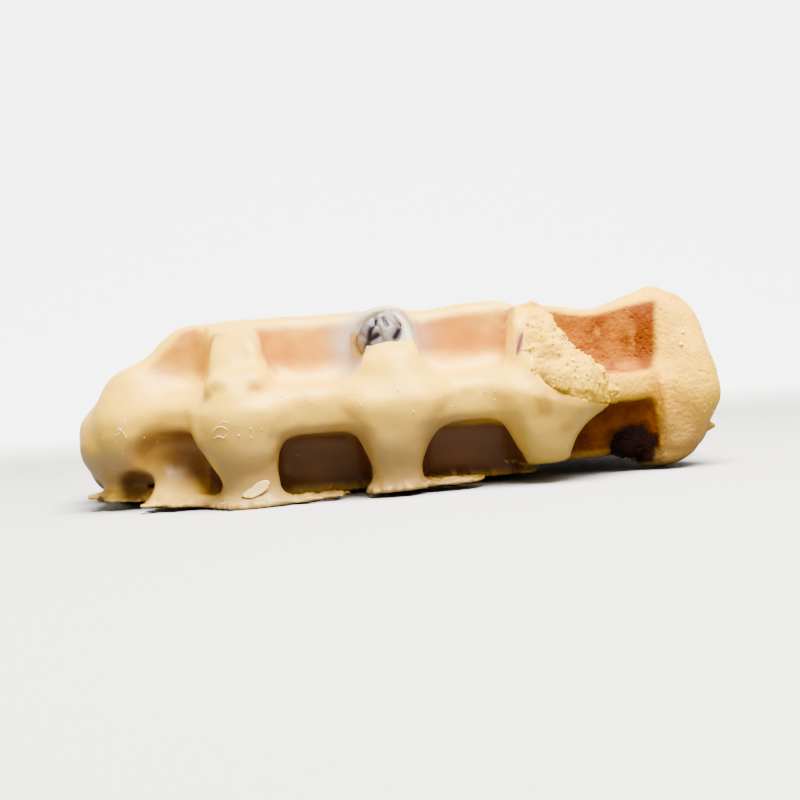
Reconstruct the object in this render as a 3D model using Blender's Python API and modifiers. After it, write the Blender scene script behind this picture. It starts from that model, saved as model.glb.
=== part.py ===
"""Liege waffle, one thick oval piece of brioche dough pressed between two deep grids.

Three quarters of it are dipped in a pale icing that has run down and set in flat feet.
Blueberries sit in the dough. X runs along the waffle, -Y is the side that is seen first,
and Z = 0 is the surface that the feet of the icing stand on.
"""

import math

import bmesh
import bpy
import numpy as np
from mathutils import Vector, noise

MM = 0.001

# The grid of the iron
RIB_PITCH = 24.0 * MM
RIB_CREST_WIDTH = 3.2 * MM
RIB_ROOT_WIDTH = 8.6 * MM
CROSSWISE_RIBS = (-2, -1, 0, 1, 2)
LENGTHWISE_RIBS = (-1, 0, 1)

# The baked dough
HALF_LENGTH = 53.6 * MM
HALF_DEPTH = 42.0 * MM
MID_HEIGHT = 14.4 * MM
ABOVE_MIDDLE = 13.7 * MM
BELOW_MIDDLE = 12.2 * MM
WEB_HALF_HEIGHT = 2.7 * MM
WEB_RECESS = 2.4 * MM
OUTLINE_SQUARENESS = 2.35
RIGHT_END_SQUARER_BY = 1.1
OUTLINE_WAVES = ((3, 0.012, 0.9), (7, 0.008, 2.0))
UPPER_FULLNESS = 2.8
LOWER_FULLNESS = 4.4
ENDS_FULLER_BY = 2.2
WEB_FULLNESS = 8.0
LEFT_SLOPE_START = -30.0 * MM
LEFT_SLOPE = 0.62
KNUCKLE_HALF_WIDTH = 4.8 * MM
KNUCKLE_HALF_HEIGHT = 7.0 * MM
KNUCKLE_INSET = 4.6 * MM
KNUCKLE_VARIES_BY = 0.14

# The crests sag between the ribs, and in waves as (X, reach, depth)
SAG_BETWEEN_RIBS = 0.7 * MM
SAG_LENGTH = 22.0 * MM
CREST_WAVES = (
    (-29.0 * MM, 12.0 * MM, -1.1 * MM),
    (36.0 * MM, 7.0 * MM, 1.6 * MM),
)

# Unevenness of the dough, by a noise that is read at another place for each axis
LUMP_LENGTH = 9.0 * MM
LUMP_HEIGHT = 0.45 * MM
LUMP_SHIFTS = ((0.0, 0.0, 0.0), (17.3, 5.1, 9.7), (3.9, 23.6, 31.2))

# Bulges of the near side, as (name, centre, half sizes) in millimetres
FRONT_BULGES = (
    ("bulge_right_end_low", (47.6, -21.5, 11.7), (7.9, 10.4, 11.1)),
    ("bulge_right_end_high", (45.8, -21.0, 18.9), (6.9, 10.2, 11.2)),
    ("bulge_third_post", (26.2, -35.6, 15.8), (6.4, 5.6, 7.4)),
)

# The icing
ICING_OFFSET = 1.35 * MM
PIECE_GAP = 0.35 * MM
DIP_EDGE_X = 20.5 * MM
DIP_EDGE_SLANT = 0.10
DIP_EDGE_BULGE = 8.5 * MM
DIP_EDGE_WAVE = 1.6 * MM
DIP_EDGE_WAVE_LENGTH = 8.0 * MM
DIP_EDGE_CUTS = 31
FOOT_LIP_RADIUS = 5.4 * MM
FOOT_NECK_RADIUS = 3.6 * MM
FOOT_HEIGHT = 5.0 * MM
FOOT_VARIES_BY = 0.25
SKIRT_INSET = 2.2 * MM
SKIRT_ENDS = (math.radians(219.5), math.radians(238))
SKIRT_STEPS = 12
SKIRT_SECTION = (
    (-1.9 * MM, 0.0),
    (1.6 * MM, 0.0),
    (0.5 * MM, 3.2 * MM),
    (-0.9 * MM, 3.2 * MM),
)
PAD_HALF_WIDTH = 3.8 * MM
PAD_HEIGHT = 2.9 * MM

# Feet of the near side, as (name, x, y, lip radius, stretch along X) in millimetres
FRONT_FEET = (
    ("foot_left_tip", -47.0, -19.4, 3.9, 1.0),
    ("foot_first_post", -24.0, -37.6, 5.6, 1.2),
    ("foot_second_post", 0.0, -38.6, 4.7, 1.0),
)

# The near feet set on an uneven face: its height by X, both in millimetres
FLOOR_X = (-54.0, -24.0, 0.0, 24.0)
FLOOR_Z = (2.0, 0.0, 0.9, 1.3)
FLOOR_LEVEL_FROM_Y = -6.0 * MM
FLOOR_NEAR_Y = -22.0 * MM
FLOOR_SNAP = 0.15 * MM

# Thin sheets that ran out over the table, as (name, centre, half sizes) in millimetres
SHEETS = (
    ("lip_left_tip", (-49.6, -20.6, 2.4), (4.2, 2.6, 0.8)),
    ("sheet_first_post", (-15.0, -34.6, 0.6), (8.0, 4.6, 0.6)),
    ("sheet_second_post", (7.0, -32.5, 1.3), (8.0, 5.6, 0.7)),
    ("pad_third_post", (23.2, -34.0, 1.8), (4.6, 4.6, 1.2)),
)

# The torn crumb beside the icing's edge
CRAG_COUNT = 14
CRAG_RADIUS = 1.0 * MM
CRAG_PAST_EDGE = 1.6 * MM
CRAG_SPREAD_X = 4.5 * MM
CRAG_NEAR_Y = -41.0 * MM
CRAG_SPREAD_Y = 14.0 * MM
CRAG_LOW_Z = 14.0 * MM
CRAG_SPREAD_Z = 13.0 * MM

# Berries, as (name, centre, half sizes) in millimetres
BERRIES = (
    ("blueberry_top", (-0.5, -31.0, 25.5), (4.6, 4.4, 4.6)),
    ("blueberry_under", (38.5, -26.8, 4.2), (3.7, 3.4, 2.9)),
)

# The share of the whole outline that lies under icing
ICING_SHARE = 0.78

BERRY_FOLDS = 0.08
BERRY_FOLDS_ACROSS = 2.6

# How fine the surfaces are
DOUGH_VOXEL = 0.8 * MM
ICING_VOXEL = 0.9 * MM
DOUGH_TRIANGLES = 4300
ICING_TRIANGLES = 3550
BERRY_TRIANGLES = 240

FOOT_SIDES = 18
AXIS_RADIUS = 0.001 * MM

SPARE = 4.0 * MM


def clear_scene():
    """Removes whatever the file opened with."""
    for old in list(bpy.data.objects):
        bpy.data.objects.remove(old)


def new_collection(name, shown=True):
    made = bpy.data.collections.new(name)
    bpy.context.scene.collection.children.link(made)
    made.hide_render = not shown
    return made


def make_material(name, colour, roughness):
    material = bpy.data.materials.new(name)
    material.use_nodes = True
    shader = material.node_tree.nodes["Principled BSDF"]
    shader.inputs["Base Color"].default_value = (*colour, 1.0)
    shader.inputs["Roughness"].default_value = roughness
    material.diffuse_color = (*colour, 1.0)
    return material


def object_from_bmesh(name, bm, collection):
    mesh = bpy.data.meshes.new(name)
    bm.to_mesh(mesh)
    bm.free()
    made = bpy.data.objects.new(name, mesh)
    collection.objects.link(made)
    return made


def as_helper(obj):
    """Marks a cutter or a part of a union, which is no piece of the waffle itself."""
    obj.hide_render = True
    obj.display_type = "WIRE"
    return obj


def points_of(mesh):
    points = np.empty(len(mesh.vertices) * 3, np.float32)
    mesh.vertices.foreach_get("co", points)
    return points.reshape(-1, 3)


def put_in_order(mesh):
    """Numbers points and faces by place: a Boolean's own order isn't the same each run."""
    points = points_of(mesh)
    order = np.lexsort((points[:, 2], points[:, 1], points[:, 0]))
    number = np.empty(len(order), int)
    number[order] = np.arange(len(order))
    faces = []
    for polygon in mesh.polygons:
        corners = number[list(polygon.vertices)].tolist()
        first = corners.index(min(corners))
        faces.append(corners[first:] + corners[:first])
    mesh.clear_geometry()
    mesh.from_pydata(points[order], [], sorted(faces))


def apply_modifiers(obj):
    """Puts the evaluated mesh in place of the object's own mesh and modifiers."""
    graph = bpy.context.evaluated_depsgraph_get()
    finished = bpy.data.meshes.new_from_object(obj.evaluated_get(graph))
    obj.modifiers.clear()
    obj.data = finished
    put_in_order(finished)
    return obj


def copy_of(obj, name, collection):
    made = obj.copy()
    made.data = obj.data.copy()
    made.name = name
    collection.objects.link(made)
    return made


def combine(obj, operation, other):
    """Boolean with an object or a collection, applied at once; what it used is removed."""
    boolean = obj.modifiers.new(operation.title(), "BOOLEAN")
    boolean.operation = operation
    boolean.solver = "MANIFOLD"
    used = [other]
    if isinstance(other, bpy.types.Collection):
        boolean.operand_type = "COLLECTION"
        boolean.collection = other
        used = list(other.objects)
    else:
        boolean.object = other
    apply_modifiers(obj)
    for helper in used:
        bpy.data.objects.remove(helper)
    return obj


def drop_scraps(obj):
    """Keeps the largest connected body, where a cut left a crumb loose beside it."""
    bm = bmesh.new()
    bm.from_mesh(obj.data)
    unseen = set(bm.verts)
    bodies = []
    while unseen:
        front = [unseen.pop()]
        body = set(front)
        while front:
            for edge in front.pop().link_edges:
                fresh = unseen.intersection(edge.verts)
                unseen -= fresh
                body |= fresh
                front.extend(fresh)
        bodies.append(body)
    largest = max(bodies, key=len)
    scraps = [vertex for vertex in bm.verts if vertex not in largest]
    bmesh.ops.delete(bm, geom=scraps, context="VERTS")
    bm.to_mesh(obj.data)
    bm.free()


def soften(obj, voxel, smoothings):
    """Fuses a mesh on a fine grid and rounds its edges, as dough and icing round theirs."""
    remesh = obj.modifiers.new("Fuse", "REMESH")
    remesh.mode = "VOXEL"
    remesh.voxel_size = voxel
    smooth = obj.modifiers.new("Round", "SMOOTH")
    smooth.factor = 0.5
    smooth.iterations = smoothings
    return apply_modifiers(obj)


def thin_out(obj, triangles):
    """Decimates to about this many triangles."""
    bm = bmesh.new()
    bm.from_mesh(obj.data)
    bmesh.ops.triangulate(bm, faces=bm.faces)
    present = len(bm.faces)
    bm.to_mesh(obj.data)
    bm.free()
    decimate = obj.modifiers.new("Thin out", "DECIMATE")
    decimate.ratio = min(1.0, triangles / present)
    return apply_modifiers(obj)


def swell(obj, distance):
    """Moves every point out along its normal."""
    mesh = obj.data
    mesh.calc_loop_triangles()
    points = points_of(mesh).astype(float)
    corners = np.empty(len(mesh.loop_triangles) * 3, int)
    mesh.loop_triangles.foreach_get("vertices", corners)
    corners = corners.reshape(-1, 3)
    a, b, c = (points[corners[:, k]] for k in range(3))
    facing = np.cross(b - a, c - a)
    normals = np.zeros_like(points)
    for k in range(3):
        np.add.at(normals, corners[:, k], facing)
    normals /= np.linalg.norm(normals, axis=1, keepdims=True)
    mesh.vertices.foreach_set("co", (points + distance * normals).ravel())
    mesh.update()


def outline_radius(angle, recess=0.0):
    """Plan radius of the uneven oval, whose right end is squarer than its left."""
    power = OUTLINE_SQUARENESS + RIGHT_END_SQUARER_BY * max(0.0, math.cos(angle))
    along = abs(math.cos(angle)) / HALF_LENGTH
    across = abs(math.sin(angle)) / HALF_DEPTH
    plain = (along**power + across**power) ** (-1 / power)
    uneven = sum(share * math.sin(n * angle + turn) for n, share, turn in OUTLINE_WAVES)
    return plain * (1 + uneven) - recess


def rim_fullness(angle, up):
    """How square the side is in profile: the left end is undercut, the right end is full."""
    rightness = math.cos(angle) * abs(math.cos(angle))
    if up > 0:
        return UPPER_FULLNESS + ENDS_FULLER_BY * abs(rightness)
    return LOWER_FULLNESS + ENDS_FULLER_BY * rightness


def top_limit(x):
    """The dough thins out towards its left end in one long slope."""
    return MID_HEIGHT + ABOVE_MIDDLE - LEFT_SLOPE * max(0.0, LEFT_SLOPE_START - x)


def oval_cake(name, above, below, recess, fullness, collection):
    """A sphere pressed flat: outline_radius in plan and a superellipse in profile."""
    bm = bmesh.new()
    bmesh.ops.create_uvsphere(bm, u_segments=112, v_segments=32, radius=1.0)
    for vertex in bm.verts:
        angle = math.atan2(vertex.co.y, vertex.co.x)
        across = math.hypot(vertex.co.x, vertex.co.y)
        up = vertex.co.z
        power = fullness(angle, up)
        stretch = (across**power + abs(up) ** power) ** (-1 / power)
        radius = outline_radius(angle, recess) * across * stretch
        x, y = radius * math.cos(angle), radius * math.sin(angle)
        height = MID_HEIGHT + (above if up > 0 else below) * up * stretch
        vertex.co = Vector((x, y, min(height, top_limit(x))))
    return as_helper(object_from_bmesh(name, bm, collection))


def rib_bar(name, length, collection):
    """A straight bar along Y, widest at its middle height and tapered to both crests."""
    bm = bmesh.new()
    bmesh.ops.create_cube(bm, size=1.0)
    everything = bm.verts[:] + bm.edges[:] + bm.faces[:]
    bmesh.ops.bisect_plane(bm, geom=everything, plane_co=(0, 0, 0), plane_no=(0, 0, 1))
    for vertex in bm.verts:
        at_middle = abs(vertex.co.z) < 0.25
        width = RIB_ROOT_WIDTH if at_middle else RIB_CREST_WIDTH
        vertex.co.x *= width
        vertex.co.y *= length
        vertex.co.z *= 2 * (ABOVE_MIDDLE + SPARE)
    return as_helper(object_from_bmesh(name, bm, collection))


def crest_sag(x, y):
    """How far the crests lie below their full height: the dough filled the iron unevenly."""
    between_ribs = 0.5 - 0.5 * math.cos(2 * math.pi * x / RIB_PITCH)
    wander = 0.5 + 0.5 * noise.noise(Vector((x, y, 0.0)) / SAG_LENGTH)
    sag = SAG_BETWEEN_RIBS * between_ribs * wander
    for middle, reach_of_wave, depth in CREST_WAVES:
        sag += depth * math.exp(-(((x - middle) / reach_of_wave) ** 2))
    return sag


def rib_positions():
    """Each rib as (name, offset from the middle, turned to run along X)."""
    found = [(f"rib_crosswise_{n}", n * RIB_PITCH, False) for n in CROSSWISE_RIBS]
    found += [(f"rib_lengthwise_{n}", n * RIB_PITCH, True) for n in LENGTHWISE_RIBS]
    return found


def reach(offset, along_x, side):
    """How far a rib at this offset runs from the middle line to the outline, on one side."""
    near, far = 0.0, 2 * HALF_LENGTH
    for _ in range(40):
        middle = (near + far) / 2
        x, y = (side * middle, offset) if along_x else (offset, side * middle)
        inside = math.hypot(x, y) < outline_radius(math.atan2(y, x))
        near, far = (middle, far) if inside else (near, middle)
    return near


def ellipsoid(name, centre, half_sizes, collection):
    bm = bmesh.new()
    bmesh.ops.create_uvsphere(bm, u_segments=20, v_segments=10, radius=1.0)
    for vertex in bm.verts:
        vertex.co = Vector(a * b for a, b in zip(vertex.co, half_sizes)) + Vector(centre)
    return as_helper(object_from_bmesh(name, bm, collection))


def rib_ends():
    """Each rib's two ends as (name, x, y, along_x)."""
    for name, offset, along_x in rib_positions():
        for side in (-1, 1):
            out = reach(offset, along_x, side) - KNUCKLE_INSET
            x, y = (side * out, offset) if along_x else (offset, side * out)
            yield f"{name}_{'left' if side < 0 else 'right'}", x, y, along_x


def make_knuckles(collection):
    """The dough's free front bulges out where each rib's channel let it run further."""
    for name, x, y, along_x in rib_ends():
        swelling = 1.0 + KNUCKLE_VARIES_BY * noise.noise(Vector((x, y, 0.0)) / LUMP_LENGTH)
        wide = KNUCKLE_HALF_WIDTH * swelling
        half_sizes = (KNUCKLE_HALF_WIDTH, wide) if along_x else (wide, KNUCKLE_HALF_WIDTH)
        tall = KNUCKLE_HALF_HEIGHT * swelling
        middle = min(MID_HEIGHT, top_limit(x) - tall)
        ellipsoid(f"knuckle_{name}", (x, y, middle), (*half_sizes, tall), collection)
    for name, centre, half_sizes in FRONT_BULGES:
        ellipsoid(name, Vector(centre) * MM, Vector(half_sizes) * MM, collection)


def make_dough(parts, helpers):
    """The waffle's one piece: web and ribs inside the oval envelope, with its knuckles."""
    web = (WEB_HALF_HEIGHT, WEB_HALF_HEIGHT, WEB_RECESS, lambda angle, up: WEB_FULLNESS)
    dough = oval_cake("web", *web, helpers)
    bars = new_collection("bars", shown=False)
    for name, offset, along_x in rib_positions():
        bar = rib_bar(name, 2 * HALF_LENGTH + SPARE, bars)
        bar.location = (0, offset, MID_HEIGHT) if along_x else (offset, 0, MID_HEIGHT)
        bar.rotation_euler.z = math.pi / 2 if along_x else 0.0
    combine(dough, "UNION", bars)
    whole = (ABOVE_MIDDLE, BELOW_MIDDLE, 0.0, rim_fullness)
    envelope = oval_cake("envelope", *whole, helpers)
    combine(dough, "INTERSECT", envelope)
    knuckles = new_collection("knuckles", shown=False)
    make_knuckles(knuckles)
    combine(dough, "UNION", knuckles)
    soften(dough, DOUGH_VOXEL, smoothings=5)
    for vertex in dough.data.vertices:
        up = (vertex.co.z - MID_HEIGHT) / ABOVE_MIDDLE
        sag = crest_sag(vertex.co.x, vertex.co.y) * max(0.0, up) ** 3
        place = vertex.co / LUMP_LENGTH
        lump = Vector(noise.noise(place + Vector(shift)) for shift in LUMP_SHIFTS)
        vertex.co = vertex.co + LUMP_HEIGHT * lump - Vector((0, 0, sag))
    dough.name = "waffle_dough"
    parts.objects.link(dough)
    helpers.objects.unlink(dough)
    dough.hide_render = False
    dough.display_type = "TEXTURED"
    return dough


def dip_edge(y, z):
    """X of the line where the icing ends, which bulges at mid height on the near side."""
    nearness = max(0.0, -y / HALF_DEPTH)
    bulge = DIP_EDGE_BULGE * nearness * max(0.0, 1 - ((z - MID_HEIGHT) / ABOVE_MIDDLE) ** 2)
    wave = DIP_EDGE_WAVE * noise.noise(Vector((0.0, y, z)) / DIP_EDGE_WAVE_LENGTH)
    return DIP_EDGE_X - DIP_EDGE_SLANT * y + bulge + wave


def dip_region(helpers):
    """A box round the dipped part, whose right face is the wavy edge of the icing."""
    bm = bmesh.new()
    bmesh.ops.create_cube(bm, size=1.0)
    cuts = DIP_EDGE_CUTS
    bmesh.ops.subdivide_edges(bm, edges=bm.edges[:], cuts=cuts, use_grid_fill=True)
    depth, height = 2 * HALF_DEPTH + 6 * SPARE, 4 * ABOVE_MIDDLE
    for vertex in bm.verts:
        y = vertex.co.y * depth
        z = MID_HEIGHT + vertex.co.z * height
        left = -HALF_LENGTH - 4 * SPARE
        x = left + (vertex.co.x + 0.5) * (dip_edge(y, z) - left)
        vertex.co = Vector((x, y, z))
    return as_helper(object_from_bmesh("dip_region", bm, helpers))


def floor_height(x, y):
    """Height of the face that the icing set on, which isn't level under the near side."""
    nearness = np.interp(-y, (-FLOOR_LEVEL_FROM_Y, -FLOOR_NEAR_Y), (0.0, 1.0))
    return float(nearness * np.interp(x / MM, FLOOR_X, FLOOR_Z)) * MM


def drip_foot(name, x, y, lip_radius, collection):
    """A drip turned round its axis: a neck that flares to a thin lip on the table."""
    flare = 0.4 * (lip_radius + FOOT_NECK_RADIUS)
    profile = [
        (AXIS_RADIUS, FOOT_HEIGHT),
        (0.92 * FOOT_NECK_RADIUS, FOOT_HEIGHT),
        (FOOT_NECK_RADIUS, 0.64 * FOOT_HEIGHT),
        (flare, 0.34 * FOOT_HEIGHT),
        (0.95 * lip_radius, 0.18 * FOOT_HEIGHT),
        (lip_radius, 0.06 * FOOT_HEIGHT),
        (0.97 * lip_radius, 0.0),
        (AXIS_RADIUS, 0.0),
    ]
    bm = bmesh.new()
    points = [bm.verts.new((radius, 0.0, height)) for radius, height in profile]
    for one, other in zip(points, points[1:]):
        bm.edges.new((one, other))
    foot = as_helper(object_from_bmesh(name, bm, collection))
    screw = foot.modifiers.new("Turn", "SCREW")
    screw.steps = screw.render_steps = FOOT_SIDES
    screw.use_merge_vertices = True
    screw.merge_threshold = 10 * AXIS_RADIUS
    apply_modifiers(foot)
    foot.location = (x, y, floor_height(x, y))
    return foot


def icing_skirt(collection):
    """A low wall of set icing under the outline, from the left tip to the first post."""
    bm = bmesh.new()
    rings = []
    for angle in np.linspace(*SKIRT_ENDS, SKIRT_STEPS + 1):
        middle = outline_radius(angle, SKIRT_INSET)
        ring = []
        for outward, height in SKIRT_SECTION:
            x = (middle + outward) * math.cos(angle)
            y = (middle + outward) * math.sin(angle)
            ring.append(bm.verts.new((x, y, height + floor_height(x, y))))
        rings.append(ring)
    for one, other in zip(rings, rings[1:]):
        for k in range(len(SKIRT_SECTION)):
            bm.faces.new((one[k], one[k - 1], other[k - 1], other[k]))
    bm.faces.new(rings[0])
    bm.faces.new(rings[-1][::-1])
    bmesh.ops.recalc_face_normals(bm, faces=bm.faces)
    return as_helper(object_from_bmesh("skirt", bm, collection))


def rib_pad(name, offset, along_x, collection):
    """Icing that pooled under a rib: a low bar with sloped sides, flat on the table."""
    bm = bmesh.new()
    bmesh.ops.create_cube(bm, size=1.0)
    length = reach(offset, along_x, -1) + reach(offset, along_x, 1) - 2 * KNUCKLE_INSET
    middle = (reach(offset, along_x, 1) - reach(offset, along_x, -1)) / 2
    for vertex in bm.verts:
        at_table = vertex.co.z < 0
        vertex.co.x *= 2 * PAD_HALF_WIDTH * (1.0 if at_table else 0.72)
        vertex.co.y = vertex.co.y * length + middle
        vertex.co.z = 0.0 if at_table else PAD_HEIGHT
    pad = as_helper(object_from_bmesh(name, bm, collection))
    pad.location = (0, offset, 0) if along_x else (offset, 0, 0)
    pad.rotation_euler.z = -math.pi / 2 if along_x else 0.0
    return pad


def set_on_floor(icing):
    """Flattens whatever reaches the face that the icing set on, or nearly does."""
    for vertex in icing.data.vertices:
        low = floor_height(vertex.co.x, vertex.co.y)
        if vertex.co.z < low + FLOOR_SNAP:
            vertex.co.z = low


def make_icing(dough, parts, helpers):
    """The coat: the swollen dough with its feet, ended at the dip edge and hollowed."""
    icing = copy_of(dough, "icing_coat", parts)
    swell(icing, ICING_OFFSET)
    runs = new_collection("runs", shown=False)
    for name, offset, along_x in rib_positions():
        rib_pad(f"pad_{name}", offset, along_x, runs)
    for name, x, y, along_x in rib_ends():
        near_side = y < -15 * MM and not along_x
        if near_side:
            continue
        swelling = 1.0 + FOOT_VARIES_BY * noise.noise(Vector((y, x, 0.0)) / LUMP_LENGTH)
        drip_foot(f"foot_{name}", x, y, FOOT_LIP_RADIUS * swelling, runs)
    for name, x, y, lip, stretch in FRONT_FEET:
        foot = drip_foot(name, x * MM, y * MM, lip * MM, runs)
        foot.scale.x = stretch
    for name, centre, half_sizes in SHEETS:
        ellipsoid(name, Vector(centre) * MM, Vector(half_sizes) * MM, runs)
    icing_skirt(runs)
    soften(icing, ICING_VOXEL, smoothings=8)
    combine(icing, "UNION", runs)
    soften(icing, ICING_VOXEL, smoothings=2)
    set_on_floor(icing)
    thin_out(icing, ICING_TRIANGLES / ICING_SHARE)
    set_on_floor(icing)
    combine(icing, "INTERSECT", dip_region(helpers))
    return icing


def add_crags(dough):
    """Torn crumb and pearls of sugar that stand out beside the icing's edge."""
    crags = new_collection("crags", shown=False)
    for n in range(CRAG_COUNT):
        y = CRAG_NEAR_Y + CRAG_SPREAD_Y * (n * 0.618 % 1.0)
        z = CRAG_LOW_Z + CRAG_SPREAD_Z * (n * 0.755 % 1.0)
        x = dip_edge(y, z) + CRAG_PAST_EDGE + CRAG_SPREAD_X * (n * 0.57 % 1.0)
        _, place, _, _ = dough.closest_point_on_mesh((x, y, z))
        radius = CRAG_RADIUS * (0.8 + 0.5 * (n * 0.37 % 1.0))
        bm = bmesh.new()
        bmesh.ops.create_icosphere(bm, subdivisions=1, radius=radius)
        bmesh.ops.translate(bm, verts=bm.verts, vec=place)
        as_helper(object_from_bmesh(f"crag_{n}", bm, crags))
    combine(dough, "UNION", crags)


def make_berry(name, centre, half_sizes, parts):
    """A blueberry: a wrinkled ball, pressed a little flat."""
    bm = bmesh.new()
    bmesh.ops.create_icosphere(bm, subdivisions=3, radius=1.0)
    for vertex in bm.verts:
        folds = 1 + BERRY_FOLDS * noise.noise(vertex.co * BERRY_FOLDS_ACROSS + Vector(centre))
        vertex.co = Vector(a * b * folds for a, b in zip(vertex.co, half_sizes))
    bmesh.ops.translate(bm, verts=bm.verts, vec=Vector(centre))
    bmesh.ops.scale(bm, verts=bm.verts, vec=(MM, MM, MM))
    berry = object_from_bmesh(name, bm, parts)
    thin_out(berry, BERRY_TRIANGLES)
    return berry


def cut_socket(hosts, berry, helpers):
    """Leaves the gap round a berry in the pieces that it sits in."""
    for host in hosts:
        socket = as_helper(copy_of(berry, f"socket_{berry.name}", helpers))
        swell(socket, PIECE_GAP)
        combine(host, "DIFFERENCE", socket)


def centre_on_origin(objects):
    """Puts the middle of the footprint on the origin and the lowest point at Z = 0."""
    corners = [vertex.co for obj in objects for vertex in obj.data.vertices]
    low = Vector(min(corner[axis] for corner in corners) for axis in range(3))
    high = Vector(max(corner[axis] for corner in corners) for axis in range(3))
    shift = Vector((-(low.x + high.x) / 2, -(low.y + high.y) / 2, -low.z))
    for obj in objects:
        for vertex in obj.data.vertices:
            vertex.co += shift


def main():
    clear_scene()
    parts = new_collection("liege_waffle")
    helpers = new_collection("helpers", shown=False)
    crumb = make_material("golden_dough", (0.72, 0.42, 0.14), 0.72)
    glaze = make_material("pale_icing", (0.90, 0.80, 0.62), 0.38)
    berry_skin = make_material("blueberry_skin", (0.05, 0.035, 0.08), 0.45)

    dough = make_dough(parts, helpers)
    icing = make_icing(dough, parts, helpers)
    thin_out(dough, DOUGH_TRIANGLES)
    add_crags(dough)
    hollow = as_helper(copy_of(dough, "hollow", helpers))
    swell(hollow, PIECE_GAP)
    combine(icing, "DIFFERENCE", hollow)
    drop_scraps(icing)

    for name, centre, half_sizes in BERRIES:
        berry = make_berry(name, centre, half_sizes, parts)
        cut_socket([dough, icing], berry, helpers)
        berry.data.materials.append(berry_skin)
    for obj, material in ((dough, crumb), (icing, glaze)):
        obj.data.materials.clear()
        obj.data.materials.append(material)
    centre_on_origin(parts.objects)


main()
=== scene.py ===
"""Looks of a Liege waffle: its coat of set icing, its bare browned end, its berries and its crumbs.

The forms are worked out in millimetres in the waffle's own frame: X runs along it, -Y is the near side, and
Z = 0 is the surface that the feet of the icing stand on. add_mesh turns them into metres of the frame.
"""

import itertools
import logging
import math
from dataclasses import dataclass, replace
from enum import Enum

import bpy
import numpy as np
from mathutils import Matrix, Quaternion, Vector


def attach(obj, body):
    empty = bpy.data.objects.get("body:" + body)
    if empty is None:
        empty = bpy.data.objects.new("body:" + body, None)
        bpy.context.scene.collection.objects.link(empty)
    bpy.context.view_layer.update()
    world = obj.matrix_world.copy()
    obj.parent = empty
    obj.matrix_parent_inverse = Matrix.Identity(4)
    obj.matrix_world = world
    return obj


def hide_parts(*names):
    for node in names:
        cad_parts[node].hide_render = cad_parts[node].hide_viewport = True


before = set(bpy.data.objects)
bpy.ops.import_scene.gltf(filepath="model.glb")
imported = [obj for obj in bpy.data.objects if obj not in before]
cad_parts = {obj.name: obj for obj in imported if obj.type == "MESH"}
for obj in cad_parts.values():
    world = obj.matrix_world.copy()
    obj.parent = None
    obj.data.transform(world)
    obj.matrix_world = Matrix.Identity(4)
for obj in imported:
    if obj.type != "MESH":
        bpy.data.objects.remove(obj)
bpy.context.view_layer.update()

log = logging.getLogger("waffle")

MM = 0.001
# From the forms' own origin, under the middle of the grid, to the middle of the footprint
FOOTPRINT_SHIFT = np.array((-0.75, 0.29, 0.0))

Array = np.ndarray
Colour = tuple[float, float, float]


def smooth_step(low: float, high: float, value: Array) -> Array:
    """Eased rise from 0 at low to 1 at high: 3t^2 - 2t^3.

    Args:
        low: where the rise starts; it may lie above high for a fall.
        high: where it ends.
        value: the numbers to ease.

    Returns:
        The eased share, from 0 to 1.
    """
    share = np.clip((value - low) / (high - low), 0.0, 1.0)
    return share * share * (3.0 - 2.0 * share)


def smooth_min(one: Array, other: Array, radius: float) -> Array:
    """Union of two distances, with a fillet of about this radius where they meet.

    Args:
        one: signed distance to the first form.
        other: signed distance to the second form.
        radius: reach of the fillet.

    Returns:
        The lower of the two, less r h (1 - h), h being the share of the first.
    """
    share = np.clip(0.5 + 0.5 * (other - one) / radius, 0.0, 1.0)
    return other + (one - other) * share - radius * share * (1.0 - share)


def smooth_max(one: Array, other: Array, radius: float) -> Array:
    """Intersection of two distances with a rounded edge.

    Args:
        one: signed distance to the first form.
        other: signed distance to the second form.
        radius: reach of the rounding.

    Returns:
        The negative of the smooth union of the negatives.
    """
    return -smooth_min(-one, -other, radius)


def ellipsoid(points: Array, centre: tuple, half_sizes: tuple) -> Array:
    """Signed distance to an ellipsoid: k (k - 1) / g, k = |p / s| and g = |p / s^2|.

    Args:
        points: places, one row each.
        centre: its middle.
        half_sizes: its half sizes along the axes.

    Returns:
        The distance at each point, near enough to the real one by the surface.
    """
    sizes = np.array(half_sizes)
    apart = points - np.array(centre)
    inner = np.linalg.norm(apart / sizes, axis=1)
    slope = np.linalg.norm(apart / sizes**2, axis=1)
    return inner * (inner - 1.0) / np.maximum(slope, 1e-6)


def eased_curve(at: Array, knots: tuple, column: int) -> Array:
    """A smooth curve through knots: cubic Hermite pieces with the slopes of the neighbours.

    Args:
        at: where to read it.
        knots: rows of (place, value, value...), by rising place.
        column: which value.

    Returns:
        The curve's value at each place, level past the ends.
    """
    places = np.array([row[0] for row in knots], float)
    values = np.array([row[column] for row in knots], float)
    slopes = np.gradient(values, places)
    at = np.clip(at, places[0], places[-1])
    piece = np.clip(np.searchsorted(places, at) - 1, 0, len(places) - 2)
    width = places[piece + 1] - places[piece]
    t = (at - places[piece]) / width
    low, high = values[piece], values[piece + 1]
    rise_low, rise_high = slopes[piece] * width, slopes[piece + 1] * width
    cubic = (2 * t**3 - 3 * t**2 + 1) * low + (t**3 - 2 * t**2 + t) * rise_low
    return cubic + (3 * t**2 - 2 * t**3) * high + (t**3 - t**2) * rise_high


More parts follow.
